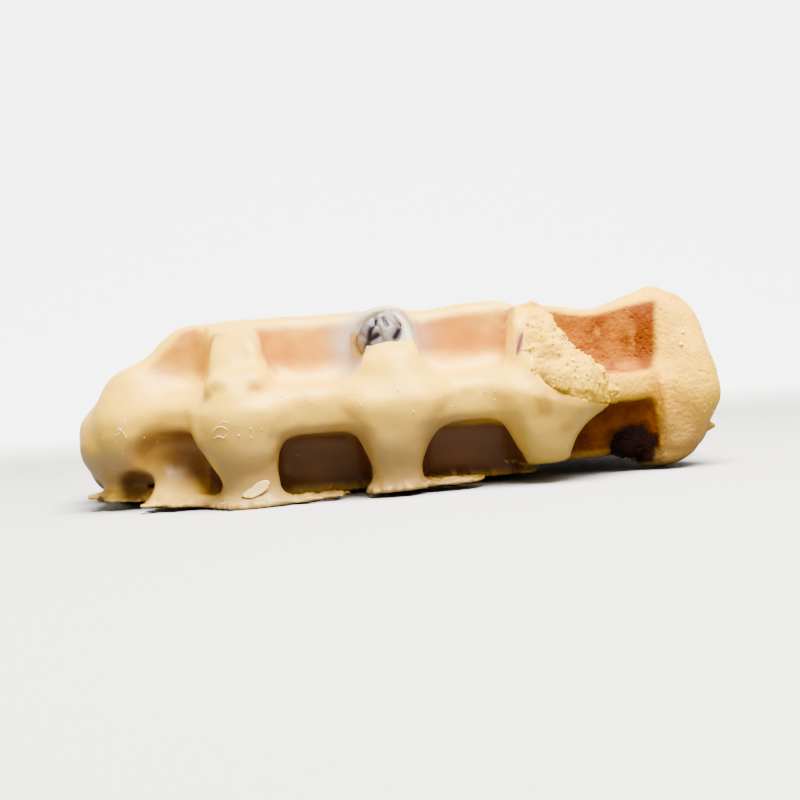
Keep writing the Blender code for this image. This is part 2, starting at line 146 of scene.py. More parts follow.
@dataclass(frozen=True)
class Unevenness:
    """Soft random unevenness: gradient noise on a lattice, the same each run.

    Attributes:
        seed: which noise.
        length: its longest wave in millimetres.
        octaves: how many finer waves are added, each half as long and half as high.
    """

    seed: int
    length: float
    octaves: int = 1

    def at(self, points: Array) -> Array:
        """The noise at each point: lattice slopes, blended by 6t^5 - 15t^4 + 10t^3.

        Args:
            points: places, one row each.

        Returns:
            A value from about -1 to 1 for each place.
        """
        draw = np.random.default_rng(self.seed)
        table = draw.permutation(256)
        slopes = draw.normal(size=(256, 3))
        slopes /= np.linalg.norm(slopes, axis=1, keepdims=True)
        total = np.zeros(len(points))
        for octave in range(self.octaves):
            place = points * (2.0**octave / self.length) + 17.0 * octave
            cell = np.floor(place).astype(int)
            within = place - cell
            fade = within**3 * (within * (within * 6.0 - 15.0) + 10.0)
            for corner in itertools.product((0, 1), repeat=3):
                lattice = (cell + corner) & 255
                mixed = (table[lattice[:, 0]] + lattice[:, 1]) & 255
                number = table[(table[mixed] + lattice[:, 2]) & 255]
                share = np.prod(np.where(corner, fade, 1.0 - fade), axis=1)
                rise = np.einsum("ij,ij->i", slopes[number], within - corner)
                total += share * rise * 0.5**octave
        return 1.6 * total


# The slow lumps that the coat and the bare end share, and their height
LUMPS = Unevenness(1, 9.0, 2)
LUMP_HEIGHT = 0.28


@dataclass(frozen=True)
class Outline:
    """The uneven oval that the waffle fills in plan; its right end is squarer than its left.

    Attributes:
        squareness: power of the superellipse.
        waves: slow waves round it, as rows of (count, share of the radius, turn).
    """

    half_length: float = 53.6
    half_depth: float = 42.0
    squareness: float = 2.35
    right_end_squarer_by: float = 1.1
    waves: tuple = ((3, 0.012, 0.9), (7, 0.008, 2.0))

    def radius(self, angle: Array) -> Array:
        """Plan radius: a superellipse with two slow waves round it.

        Args:
            angle: direction from the middle, in radians.

        Returns:
            The radius in millimetres.
        """
        power = self.squareness + self.right_end_squarer_by * np.maximum(0.0, np.cos(angle))
        along = np.abs(np.cos(angle)) / self.half_length
        across = np.abs(np.sin(angle)) / self.half_depth
        uneven = sum(share * np.sin(n * angle + turn) for n, share, turn in self.waves)
        return (along**power + across**power) ** (-1.0 / power) * (1.0 + uneven)

    def depth_inside(self, points: Array) -> Array:
        """How far each point lies inside the outline in plan, in millimetres."""
        angle = np.arctan2(points[:, 1], points[:, 0])
        return self.radius(angle) - np.hypot(points[:, 0], points[:, 1])


def rounded_box(points: Array, centre: tuple, half_sizes: tuple, radius: float) -> Array:
    """Signed distance to a box with rounded edges: |max(q, 0)| + min(max q, 0) - r, q = |p| - (s - r).

    Args:
        points: places, one row each.
        centre: its middle.
        half_sizes: its half sizes along the axes.
        radius: its edges' radius.

    Returns:
        The distance at each point.
    """
    past = np.abs(points - np.array(centre)) - (np.array(half_sizes) - radius)
    outer = np.linalg.norm(np.maximum(past, 0.0), axis=1)
    return outer + np.minimum(past.max(axis=1), 0.0) - radius


@dataclass(frozen=True)
class Post:
    """A rounded upright form on the near side, such as a rib's end with the icing that ran down it.

    Attributes:
        y: Y of its axis at the foot.
        depth: its depth along Y over its width.
        knots: its outline as rows of (height, X of the axis, half width), from the foot up.
        lean: how far its axis leans back, as rows of (height, distance).
        shortened: what the distance to the side is multiplied by, since the outline slopes.
        rounding: radius of the edges at its foot and its top.
    """

    y: float
    depth: float
    knots: tuple
    lean: tuple = ((0.0, 0.0), (1.0, 0.0))
    shortened: float = 0.85
    rounding: float = 0.6

    def distance(self, points: Array) -> Array:
        """Signed distance: how far a point lies from an oval whose width follows the height.

        Args:
            points: places, one row each.

        Returns:
            The distance, a little short of the real one where the outline is steep.
        """
        z = points[:, 2]
        across = points[:, 0] - eased_curve(z, self.knots, 1)
        heights, distances = zip(*self.lean)
        away = (points[:, 1] - self.y - np.interp(z, heights, distances)) / self.depth
        beyond = np.maximum(self.knots[0][0] - z, z - self.knots[-1][0])
        side = self.shortened * (np.hypot(across, away) - eased_curve(z, self.knots, 2))
        return smooth_max(side, beyond, self.rounding)


@dataclass(frozen=True)
class DoughForm:
    """The baked dough: web and ribs of the deep grid inside the oval, with knuckles at the rib ends.

    Attributes:
        crest_waves: dips of the crests as rows of (X, reach, depth).
        lobe_clearance: the room left under the third post's lobe, as centre and half sizes.
        near_ends_slimmer_by: how much slimmer the near ends of the crosswise ribs are low down.
        left_corner_deeper_by: how much deeper the iron pressed the near left corner.
        bump: the free right end, as an upright form.
        shoulder: the crest that rises to the bump, as centre and half sizes.
        flap: a scrap of crust that stands off the bump.
    """

    outline: Outline = Outline()
    pitch: float = 24.0
    crest_width: float = 3.2
    root_width: float = 8.6
    crosswise_reach: int = 2
    lengthwise_reach: int = 1
    middle: float = 14.4
    above: float = 14.6
    below: float = 12.2
    web_half_height: float = 2.6
    web_recess: float = 2.4
    upper_radius_share: float = 0.93
    upper_fullness: float = 4.5
    lower_fullness: float = 4.4
    ends_fuller_by: float = 2.2
    right_crest_fuller_by: float = 3.5
    near_ends_slimmer_by: float = 1.5
    left_corner_deeper_by: float = 2.4
    left_slope_start: float = -32.6
    left_slope: float = 0.83
    knuckle_half_width: float = 4.8
    knuckle_half_height: float = 7.0
    knuckle_inset: float = 4.6
    crest_waves: tuple = ((-27.0, 8.0, -1.2), (6.0, 4.0, 0.9), (33.5, 6.0, 1.3))
    lobe_clearance: tuple = ((25.0, -42.0, -1.2), (9.5, 9.0, 4.6))
    lobe_rounding: float = 2.0
    corner: float = 1.6
    fillet_above: float = 2.4
    fillet_below: float = 1.4
    edge: float = 1.5
    knuckle_fillet: float = 3.0
    shoulder: tuple = ((43.9, -19.6, 22.9), (8.8, 7.0, 6.2))
    flap: tuple = ((53.0, -22.0, 6.3), (1.6, 1.5, 0.7))
    bump: Post = Post(
        -21.5,
        1.62,
        (
            (0.2, 44.4, 1.2), (0.9, 44.6, 3.4), (3.4, 46.4, 5.1), (7.4, 48.2, 5.5), (12.0, 49.3, 6.2),
            (16.0, 49.2, 6.0), (20.0, 48.5, 5.4), (24.0, 47.5, 4.6), (27.5, 46.5, 3.6),
            (29.0, 45.9, 2.5), (29.8, 45.5, 0.8),
        ),
    )

    def to_ribs(self, points: Array) -> tuple[Array, Array]:
        """Plan distance from each point to the middle line of the nearest rib of each direction."""
        cross = np.clip(np.round(points[:, 0] / self.pitch), -self.crosswise_reach, self.crosswise_reach)
        length = np.clip(
            np.round(points[:, 1] / self.pitch), -self.lengthwise_reach, self.lengthwise_reach
        )
        across = np.abs(points[:, 0] - cross * self.pitch)
        return across, np.abs(points[:, 1] - length * self.pitch)

    def crest_height(self, points: Array) -> Array:
        """Height of the crests: the full height, less a sag between ribs and the slow waves."""
        x = points[:, 0]
        sag = 0.35 * (0.5 - 0.5 * np.cos(2.0 * np.pi * x / self.pitch))
        for place, reach, depth in self.crest_waves:
            sag = sag + depth * np.exp(-(((x - place) / reach) ** 2))
        slope = self.left_slope * np.maximum(0.0, self.left_slope_start - x)
        return self.middle + self.above - sag - slope

    def envelope(self, points: Array) -> Array:
        """Signed distance to the whole lump: the outline in plan, a superellipse in profile.

        Args:
            points: places, one row each.

        Returns:
            (s - 1) / |grad s|, s being the n-th root of (r / R)^n + (h / H)^n.
        """
        angle = np.arctan2(points[:, 1], points[:, 0])
        out = np.hypot(points[:, 0], points[:, 1])
        up = points[:, 2] - self.middle
        limit = self.outline.radius(angle)
        limit = limit * (1.0 - (1.0 - self.upper_radius_share) * smooth_step(0.0, 6.0, up))
        rightness = np.cos(angle) * np.abs(np.cos(angle))
        upper = self.upper_fullness + self.ends_fuller_by * np.abs(rightness)
        upper = upper + self.right_crest_fuller_by * np.maximum(rightness, 0.0)
        power = np.where(up > 0, upper, self.lower_fullness + self.ends_fuller_by * rightness)
        height = np.where(up > 0, self.above, self.below)
        plan, rise = np.maximum(out / limit, 1e-4), np.maximum(np.abs(up) / height, 1e-4)
        size = (plan**power + rise**power) ** (1.0 / power)
        slope_plan = (plan / size) ** (power - 1.0) / limit
        slope_rise = (rise / size) ** (power - 1.0) / height
        lump = (size - 1.0) / np.maximum(np.hypot(slope_plan, slope_rise), 0.02)
        steepness = math.hypot(1.0, self.left_slope)
        sloped = np.where(points[:, 0] < self.left_slope_start, steepness, 1.0)
        top = (points[:, 2] - self.crest_height(points)) / sloped
        return smooth_max(lump, top, 1.2)

    def grid(self, points: Array) -> Array:
        """Signed distance to the endless grid: tapered ribs both ways and the web between them."""
        x, y, z = points.T
        up = np.abs(z - self.middle)
        taper = (self.root_width - self.crest_width) / (2.0 * (self.above + 4.0))
        half = self.root_width / 2.0 - taper * up
        across, along = self.to_ribs(points)
        low = smooth_step(12.5, 8.0, z)
        near_end = low * smooth_step(-29.0, -35.0, y) * smooth_step(40.0, 34.0, x)
        left_corner = smooth_step(-28.5, -32.0, x) * smooth_step(-24.0, -26.0, y)
        left_corner = left_corner * np.maximum(low, 0.7 * smooth_step(16.0, 20.0, z))
        crosswise = across - half + self.near_ends_slimmer_by * near_end
        lengthwise = along - half + self.left_corner_deeper_by * left_corner
        ribs = smooth_min(crosswise, lengthwise, self.corner)
        rim = self.web_recess - self.outline.depth_inside(points)
        web = smooth_max(up - self.web_half_height, rim, 2.5)
        upness = smooth_step(-2.0, 2.0, z - self.middle)
        return smooth_min(ribs, web, self.fillet_below + (self.fillet_above - self.fillet_below) * upness)

    def rib_ends(self) -> list[tuple[float, float, bool]]:
        """Both ends of each rib as (x, y, whether it runs along X), inset from the outline."""
        found = []
        turned = [(n * self.pitch, False) for n in range(-self.crosswise_reach, self.crosswise_reach + 1)]
        turned += [(n * self.pitch, True) for n in range(-self.lengthwise_reach, self.lengthwise_reach + 1)]
        run = np.linspace(0.0, 1.2 * self.outline.half_length, 2401)
        for (offset, along_x), side in itertools.product(turned, (-1.0, 1.0)):
            level = np.full_like(run, offset)
            spots = (side * run, level) if along_x else (level, side * run)
            inside = self.outline.depth_inside(np.column_stack(spots)) > 0.0
            out = side * (run[inside].max() - self.knuckle_inset)
            found.append((out, offset, True) if along_x else (offset, out, False))
        return found

    def distance(self, points: Array) -> Array:
        """Signed distance to the dough.

        Args:
            points: places, one row each.

        Returns:
            The grid inside the envelope, joined with the knuckles and the free bump.
        """
        form = smooth_max(self.grid(points), self.envelope(points), self.edge)
        for x, y, along_x in self.rib_ends():
            if y < -15.0 and not along_x:
                continue
            top = self.crest_height(np.array([[x, y, 0.0]]))[0]
            centre = (x, y, min(self.middle, top - self.knuckle_half_height))
            half = (self.knuckle_half_width, self.knuckle_half_width, self.knuckle_half_height)
            form = smooth_min(form, ellipsoid(points, centre, half), self.knuckle_fillet)
        form = smooth_max(form, -rounded_box(points, *self.lobe_clearance, self.lobe_rounding), 1.6)
        form = smooth_min(form, ellipsoid(points, *self.shoulder), self.knuckle_fillet)
        form = smooth_min(form, self.bump.distance(points), self.knuckle_fillet)
        return smooth_min(form, ellipsoid(points, *self.flap), 0.6)


@dataclass(frozen=True)
class DipEdge:
    """The line where the icing ends, as X for each height and each Y.

    Attributes:
        slant: how far the edge moves left for each millimetre towards the far side.
        wave: how far the noise moves it.
        near_knots: rows of (height, X) on the near side, where the icing hangs over the torn crumb.
    """

    x: float = 20.5
    slant: float = 0.10
    wave: float = 1.1
    noise: Unevenness = Unevenness(5, 7.0, 4)
    near_from_y: float = -27.0
    near_to_y: float = -33.0
    near_knots: tuple = (
        (0.0, 21.0), (2.6, 21.5), (4.2, 34.0), (6.6, 36.0), (9.2, 36.0), (11.4, 35.0), (13.0, 30.5),
        (14.5, 25.6), (16.5, 23.4), (21.5, 22.6), (24.5, 23.4), (30.0, 24.6),
    )

    def beyond(self, points: Array) -> Array:
        """How far each point lies past the icing's edge, negative where there is icing."""
        y = points[:, 1]
        far = self.x - self.slant * y
        near = eased_curve(points[:, 2], self.near_knots, 1)
        nearness = smooth_step(self.near_from_y, self.near_to_y, y)
        past = points[:, 0] - (far + (near - far) * nearness)
        close = np.abs(past) < 5.0 * self.wave
        past[close] -= self.wave * self.noise.at(points[close])
        return past


@dataclass(frozen=True)
class Fillets:
    """Radii of the fillets and rounded edges between the parts of the coat, in millimetres."""

    opening: float = 2.6
    apron: float = 2.0
    left_corner: float = 2.6
    laps: float = 1.4
    runs: float = 2.4
    clearance: float = 1.0
    sheets: float = 0.9
    film: float = 1.6
    film_rim: float = 0.8
    berry_seat: float = 0.4
    hollow: float = 0.8
    floor: float = 0.25
    dip_edge: float = 0.5

    @staticmethod
    def posts(z: Array) -> Array:
        """The fillet beside the posts: widest at the height of the web, and tight below the crests."""
        return 3.2 + 1.8 * smooth_step(10.0, 14.0, z) - 3.4 * smooth_step(15.0, 19.5, z)


@dataclass(frozen=True)
class IcingForm:
    """The coat: the softened dough grown by its thickness, with posts, feet, pads, skirt and sheets.

    Attributes:
        dough: the softened dough that the coat follows away from its edge.
        sharp: the dough itself, which the coat follows near its edge.
        thin: thickness at its edge, from which it grows over the taper.
        floor_x: places along X at which the height of the near side's floor is known.
        lumps: lumps of the first post's knob, as rows of (centre, half sizes).
        sheets: thin sheets that ran out on the floor, as rows of (centre, half sizes).
        sheet_tear: how ragged the low edges are.
        berry_cover: how thick the film over the top berry is.
        berry_seat: how far the icing reaches into the berry that sits in it.
        skirt_ends: where the skirt starts and ends round the waffle, in degrees.
        apron: the wall of icing behind the first opening, as centre and half sizes.
    """

    dough: DoughForm
    sharp: DoughForm
    edge: DipEdge = DipEdge()
    fillets: Fillets = Fillets()
    thickness: float = 1.35
    thin: float = 0.22
    taper: float = 5.0
    foot_lip: float = 5.4
    foot_neck: float = 3.2
    foot_height: float = 5.0
    lip_raggedness: float = 0.13
    lip_noise: Unevenness = Unevenness(12, 3.4, 2)
    pad_half_width: float = 3.8
    pad_height: float = 2.9
    berry_centre: tuple = (-0.3, -31.2, 24.9)
    berry_half_sizes: tuple = (4.6, 4.35, 4.5)
    berry_cover: float = 0.85
    berry_seat: float = 0.6
    cover_noise: Unevenness = Unevenness(14, 2.4, 2)
    floor_x: tuple = (-54.0, -24.0, 0.0, 24.0)
    floor_z: tuple = (2.0, 0.0, 0.9, 1.3)
    floor_level_until: float = -6.0
    floor_slope_over: float = 16.0
    first_post: Post = Post(
        -37.7,
        0.85,
        (
            (-0.6, -22.9, 6.6), (0.9, -22.9, 6.2), (2.2, -23.0, 4.8), (4.3, -23.1, 4.3),
            (7.5, -23.8, 5.4), (11.0, -24.5, 6.6), (15.0, -24.4, 5.9), (19.0, -24.4, 4.9),
            (22.0, -23.9, 4.3), (25.0, -24.5, 3.1), (27.5, -25.0, 2.0),
        ),
        ((15.0, 0.0), (19.0, 0.6), (22.0, 2.8), (25.0, 5.4), (27.5, 7.8)),
    )
    second_post: Post = Post(
        -38.3,
        0.86,
        (
            (-0.3, -0.1, 4.8), (1.2, -0.1, 4.6), (2.4, 0.0, 3.8), (4.3, 0.0, 3.4), (7.5, 0.1, 4.7),
            (10.5, 0.5, 5.9), (14.0, 1.1, 6.2), (18.0, 1.0, 5.5), (21.0, 0.4, 4.5), (23.0, 0.2, 3.3),
            (24.0, 0.0, 2.0), (24.4, 0.0, 0.3),
        ),
        ((18.0, 0.0), (21.0, 0.7), (24.4, 2.0)),
    )
    third_post: Post = Post(
        -36.6,
        0.80,
        (
            (3.0, 24.7, 0.4), (3.6, 24.5, 2.0), (5.0, 24.2, 3.4), (7.0, 24.1, 4.7), (9.2, 24.5, 6.2),
            (12.0, 25.7, 7.6), (15.0, 26.0, 7.8), (17.5, 25.8, 7.3), (21.0, 24.3, 5.2),
            (25.0, 22.6, 3.2), (28.0, 22.4, 1.8),
        ),
        ((17.5, 0.0), (21.0, 1.6), (25.0, 4.0), (28.0, 6.0)),
    )
    lumps: tuple = (
        ((-26.7, -39.0, 19.0), (2.3, 2.5, 2.4)),
        ((-24.2, -39.7, 18.4), (2.6, 2.3, 2.4)),
        ((-21.4, -39.0, 19.0), (2.3, 2.5, 2.6)),
        ((-24.6, -41.4, 14.2), (4.3, 2.2, 4.2)),
        ((-24.0, -40.6, 9.6), (4.2, 2.6, 3.4)),
    )
    sheets: tuple = (
        ((-47.8, -20.8, 2.5), (3.7, 2.6, 0.7)),
        ((-15.0, -36.6, 0.5), (7.6, 4.6, 0.7)),
        ((7.0, -33.5, 1.3), (7.0, 5.0, 0.7)),
        ((-36.5, -33.6, 0.9), (5.0, 3.2, 0.8)),
    )
    sheet_tear: float = 0.55
    tear_noise: Unevenness = Unevenness(16, 1.5, 3)
    skirt_ends: tuple = (216.0, 238.0)
    skirt_inset: float = 2.0
    skirt_height: float = 1.8
    hollow: tuple = ((-42.9, -31.0, 3.9), (3.3, 9.4, 2.6))
    first_opening: tuple = ((-35.2, -36.0, 6.0), (6.2, 9.6, 6.0))
    opening_flare: float = 7.0
    flare_height: float = 12.0
    apron: tuple = ((-32.2, -24.6, 5.6), (6.9, 1.8, 6.6))
    left_corner: tuple = ((-46.6, -18.0, 10.6), (5.5, 7.6, 6.0))
    left_lap: tuple = ((-5.6, -36.5, 24.0), (2.4, 5.2, 4.2))
    berry_lap: tuple = ((-1.2, -39.2, 27.6), (7.2, 6.6, 5.6))

    def floor(self, points: Array) -> Array:
        """Height of the face that the icing set on, which isn't level under the near side."""
        nearness = np.clip((self.floor_level_until - points[:, 1]) / self.floor_slope_over, 0.0, 1.0)
        return nearness * np.interp(points[:, 0], self.floor_x, self.floor_z)

    def foot(self, points: Array, x: float, y: float, lip: float) -> Array:
        """Signed distance to a drip that stands on the floor: a neck that flares to a thin lip.

        Args:
            points: places, one row each.
            x: X of its axis.
            y: Y of its axis.
            lip: radius of its lip.

        Returns:
            The distance, with a ragged lip.
        """
        up = points[:, 2] - self.floor(points)
        away = np.hypot(points[:, 0] - x, points[:, 1] - y)
        form = 0.9 * (away - self.foot_neck)
        close = (np.abs(away - lip) < 3.0) & (up < 4.0)
        rise = np.maximum(up[close], 0.0)
        ragged = 1.0 + self.lip_raggedness * self.lip_noise.at(points[close] * (1.0, 1.0, 0.0))
        flare = self.foot_neck + (lip * ragged - self.foot_neck) * np.exp(-((rise / 1.3) ** 1.6))
        form[close] = 0.9 * (away[close] - flare)
        return smooth_max(form, up - self.foot_height, 1.0)

    def pads(self, points: Array) -> Array:
        """Signed distance to the icing pooled under the ribs: low bars with sloped sides."""
        across, along = self.dough.to_ribs(points)
        up = points[:, 2]
        half = self.pad_half_width - 0.35 * up
        bars = smooth_min(across, along, 1.5) - half
        inside = self.dough.knuckle_inset - self.dough.outline.depth_inside(points)
        return smooth_max(smooth_max(bars, up - self.pad_height, 0.8), inside, 1.5)

    def skirt(self, points: Array) -> Array:
        """Signed distance to the low flared wall of set icing between the left tip and the first post."""
        angle = np.degrees(np.arctan2(points[:, 1], points[:, 0])) % 360.0
        up = points[:, 2] - self.floor(points)
        middle = self.skirt_inset - self.dough.outline.depth_inside(points)
        lean = 1.1 - 0.55 * up
        wall = np.abs(middle - lean + 0.4) - (1.7 - 0.12 * up)
        start, end = self.skirt_ends
        round_the_rim = (np.abs(angle - (start + end) / 2.0) - (end - start) / 2.0) * 0.8
        return smooth_max(smooth_max(wall, up - self.skirt_height, 1.0), round_the_rim, 1.2)

    def coat_depth(self, points: Array) -> Array:
        """Thickness of the coat, which thins out towards its edge."""
        from_edge = smooth_step(0.0, -self.taper, self.edge.beyond(points))
        return self.thin + (self.thickness - self.thin) * from_edge

    def coated(self, points: Array) -> Array:
        """Signed distance to the coat: the softened dough, or the dough itself near the edge, grown."""
        form = self.dough.distance(points)
        share = smooth_step(-7.0, -0.5, self.edge.beyond(points))
        close = share > 0.0
        sharp = self.sharp.distance(points[close])
        form[close] += (sharp - form[close]) * share[close]
        return form - self.coat_depth(points)

    def posts(self, points: Array) -> Array:
        """Signed distance to the three near posts, with the lumps of the first one's knob."""
        first = self.first_post.distance(points)
        for centre, half_sizes in self.lumps:
            first = smooth_min(first, ellipsoid(points, centre, half_sizes), 1.5)
        both = np.minimum(first, self.second_post.distance(points))
        return np.minimum(both, self.third_post.distance(points))

    def distance(self, points: Array) -> Array:
        """Signed distance to the icing, taken as filled down to the middle of the dough.

        Args:
            points: places, one row each.

        Returns:
            The distance, cut off at the floor, round the berry and at the dip edge.
        """
        radii = self.fillets
        form = smooth_min(self.walls(points), self.runs(points), radii.runs)
        for centre, half_sizes in self.sheets:
            form = smooth_min(form, ellipsoid(points, centre, half_sizes), radii.sheets)
        form = self.round_berry(points, form + self.low_tears(points, form))
        form = smooth_max(form, -ellipsoid(points, *self.hollow), radii.hollow)
        form = smooth_max(form, self.floor(points) - points[:, 2], radii.floor)
        return smooth_max(form, self.edge.beyond(points), radii.dip_edge)

    def walls(self, points: Array) -> Array:
        """Signed distance to the coat with its first opening, its left corner and its posts."""
        radii = self.fillets
        form = smooth_max(self.coated(points), -self.opening(points), radii.opening)
        form = smooth_min(form, rounded_box(self.flared(points), *self.apron, 1.7), radii.apron)
        form = smooth_min(form, ellipsoid(points, *self.left_corner), radii.left_corner)
        laps = smooth_min(ellipsoid(points, *self.berry_lap), ellipsoid(points, *self.left_lap), 1.0)
        form = smooth_max(form, -laps, radii.laps)
        return smooth_min(form, self.posts(points), radii.posts(points[:, 2]))

    def runs(self, points: Array) -> Array:
        """Signed distance to what ran down to the floor: pads, skirt and feet, clear of the burst berry."""
        form = smooth_min(self.pads(points), self.skirt(points), 1.5)
        for foot_x, foot_y, lip in self.feet():
            form = smooth_min(form, self.foot(points, foot_x, foot_y, lip), 1.0)
        lobe = rounded_box(points, *self.dough.lobe_clearance, self.dough.lobe_rounding)
        return smooth_max(form, -lobe, self.fillets.clearance)

    def low_tears(self, points: Array, form: Array) -> Array:
        """How far the ragged low edges of the near side move the surface.

        Args:
            points: places, one row each.
            form: signed distance to the icing there.

        Returns:
            What to add to that distance.
        """
        up = points[:, 2] - self.floor(points)
        low = (up < 2.0) & (points[:, 1] < -18.0) & (np.abs(form) < 3.0)
        moved = np.zeros(len(points))
        noise = self.tear_noise.at(points[low] * (1.0, 1.0, 0.2))
        moved[low] = self.sheet_tear * smooth_step(2.0, 0.6, up[low]) * noise
        return moved

    def round_berry(self, points: Array, form: Array) -> Array:
        """Adds the film that laps over the top berry from behind, and cuts out the berry's seat.

        Args:
            points: places, one row each.
            form: signed distance to the icing there.

        Returns:
            The distance with the film and the seat.
        """
        x, y, z = points.T
        berry = ellipsoid(points, self.berry_centre, self.berry_half_sizes)
        facing = 0.75 * (y - self.berry_centre[1]) + 0.55 * (z - self.berry_centre[2]) - 0.35 * x
        facing = facing + 0.5 * self.cover_noise.at(points)
        film = smooth_max(berry - self.berry_cover, 1.4 - facing, self.fillets.film_rim)
        form = smooth_min(form, film, self.fillets.film)
        return smooth_max(form, -self.berry_seat - berry, self.fillets.berry_seat)

    def opening(self, points: Array) -> Array:
        """Signed distance to the first lower opening, whose back comes forward towards its foot."""
        return rounded_box(self.flared(points), *self.first_opening, 4.2)

    def flared(self, points: Array) -> Array:
        """The places moved back by the flare times the square of how far below its height they lie."""
        moved = points.copy()
        down = np.clip((self.flare_height - points[:, 2]) / self.flare_height, 0.0, 1.0)
        moved[:, 1] += self.opening_flare * down**2
        return moved

    def feet(self) -> list[tuple[float, float, float]]:
        """The drips' feet as (x, y, lip radius): one under each rib end but the near posts."""
        found = [(-45.0, -20.2, 4.6)]
        for x, y, along_x in self.dough.rib_ends():
            near_post = y < -15.0 and (x < -38.0 or not along_x)
            if near_post or x > 18.0:
                continue
            lip = self.foot_lip * (1.0 + 0.18 * math.sin(1.7 * x + 0.9 * y))
            at_left_end = x < -40.0
            found.append((x + 4.8, y, lip + 0.9) if at_left_end else (x, y, lip))
        return found


@dataclass(frozen=True)
class BareEndForm:
    """The dough past the dip edge, with torn crumb on the third post, down to a face inside the coat.

    Attributes:
        from_x: X of the hidden face inside the coat.
        torn_low: how far down the torn patch reaches.
        torn_heights: heights at which its right edge is known.
        torn_rights: X of that edge at each of them.
        torn_back: how far back it reaches.
    """

    dough: DoughForm
    icing: IcingForm
    from_x: float = 14.0
    torn_low: float = 11.2
    torn_heights: tuple = (13.0, 18.0, 23.0, 28.5)
    torn_rights: tuple = (36.2, 33.4, 29.2, 25.4)
    torn_back: float = -28.5
    edge_noise: Unevenness = Unevenness(34, 2.2, 3)

    def torn(self, points: Array) -> Array:
        """Share of torn crumb at each point: a patch on the third post, with a soft rim."""
        z = points[:, 2]
        right = np.interp(z, self.torn_heights, self.torn_rights)
        ragged = 0.8 * self.edge_noise.at(points)
        patch = smooth_step(self.torn_low, self.torn_low + 2.0, z)
        patch = patch * smooth_step(right + 0.7, right - 0.3, points[:, 0] + ragged)
        base = smooth_step(5.2, 3.6, z) * smooth_step(31.0, 29.0, points[:, 0])
        return np.maximum(patch, base) * smooth_step(self.torn_back, self.torn_back - 3.0, points[:, 1])

    def distance(self, points: Array) -> Array:
        """Signed distance to the bare end, whose torn crumb stands nearly as proud as the icing."""
        form = self.dough.distance(points)
        under = smooth_step(0.6, -3.0, self.icing.edge.beyond(points))
        crumb = self.icing.third_post.distance(points) - 0.1 + 1.6 * under
        form = smooth_min(form, crumb, 2.6)
        return smooth_max(form, self.from_x - points[:, 0], 0.3)


class Grade(Enum):
    """How fine a stretch of the sampling grid is, as its step in millimetres."""

    FINE = 0.36
    MIDDLING = 0.46
    COARSE = 0.95


def graded_axis(stretches: tuple) -> Array:
    """Places along one axis, whose step changes at once from stretch to stretch.

    Args:
        stretches: rows of (low, high, Grade), end to end.

    Returns:
        The rising places.
    """
    parts = []
    coarser = 1.0
    for low, high, grade in stretches:
        steps = max(1, round((high - low) / (grade.value * coarser)))
        parts.append(np.linspace(low, high, steps, endpoint=False))
    return np.append(np.concatenate(parts), stretches[-1][1])


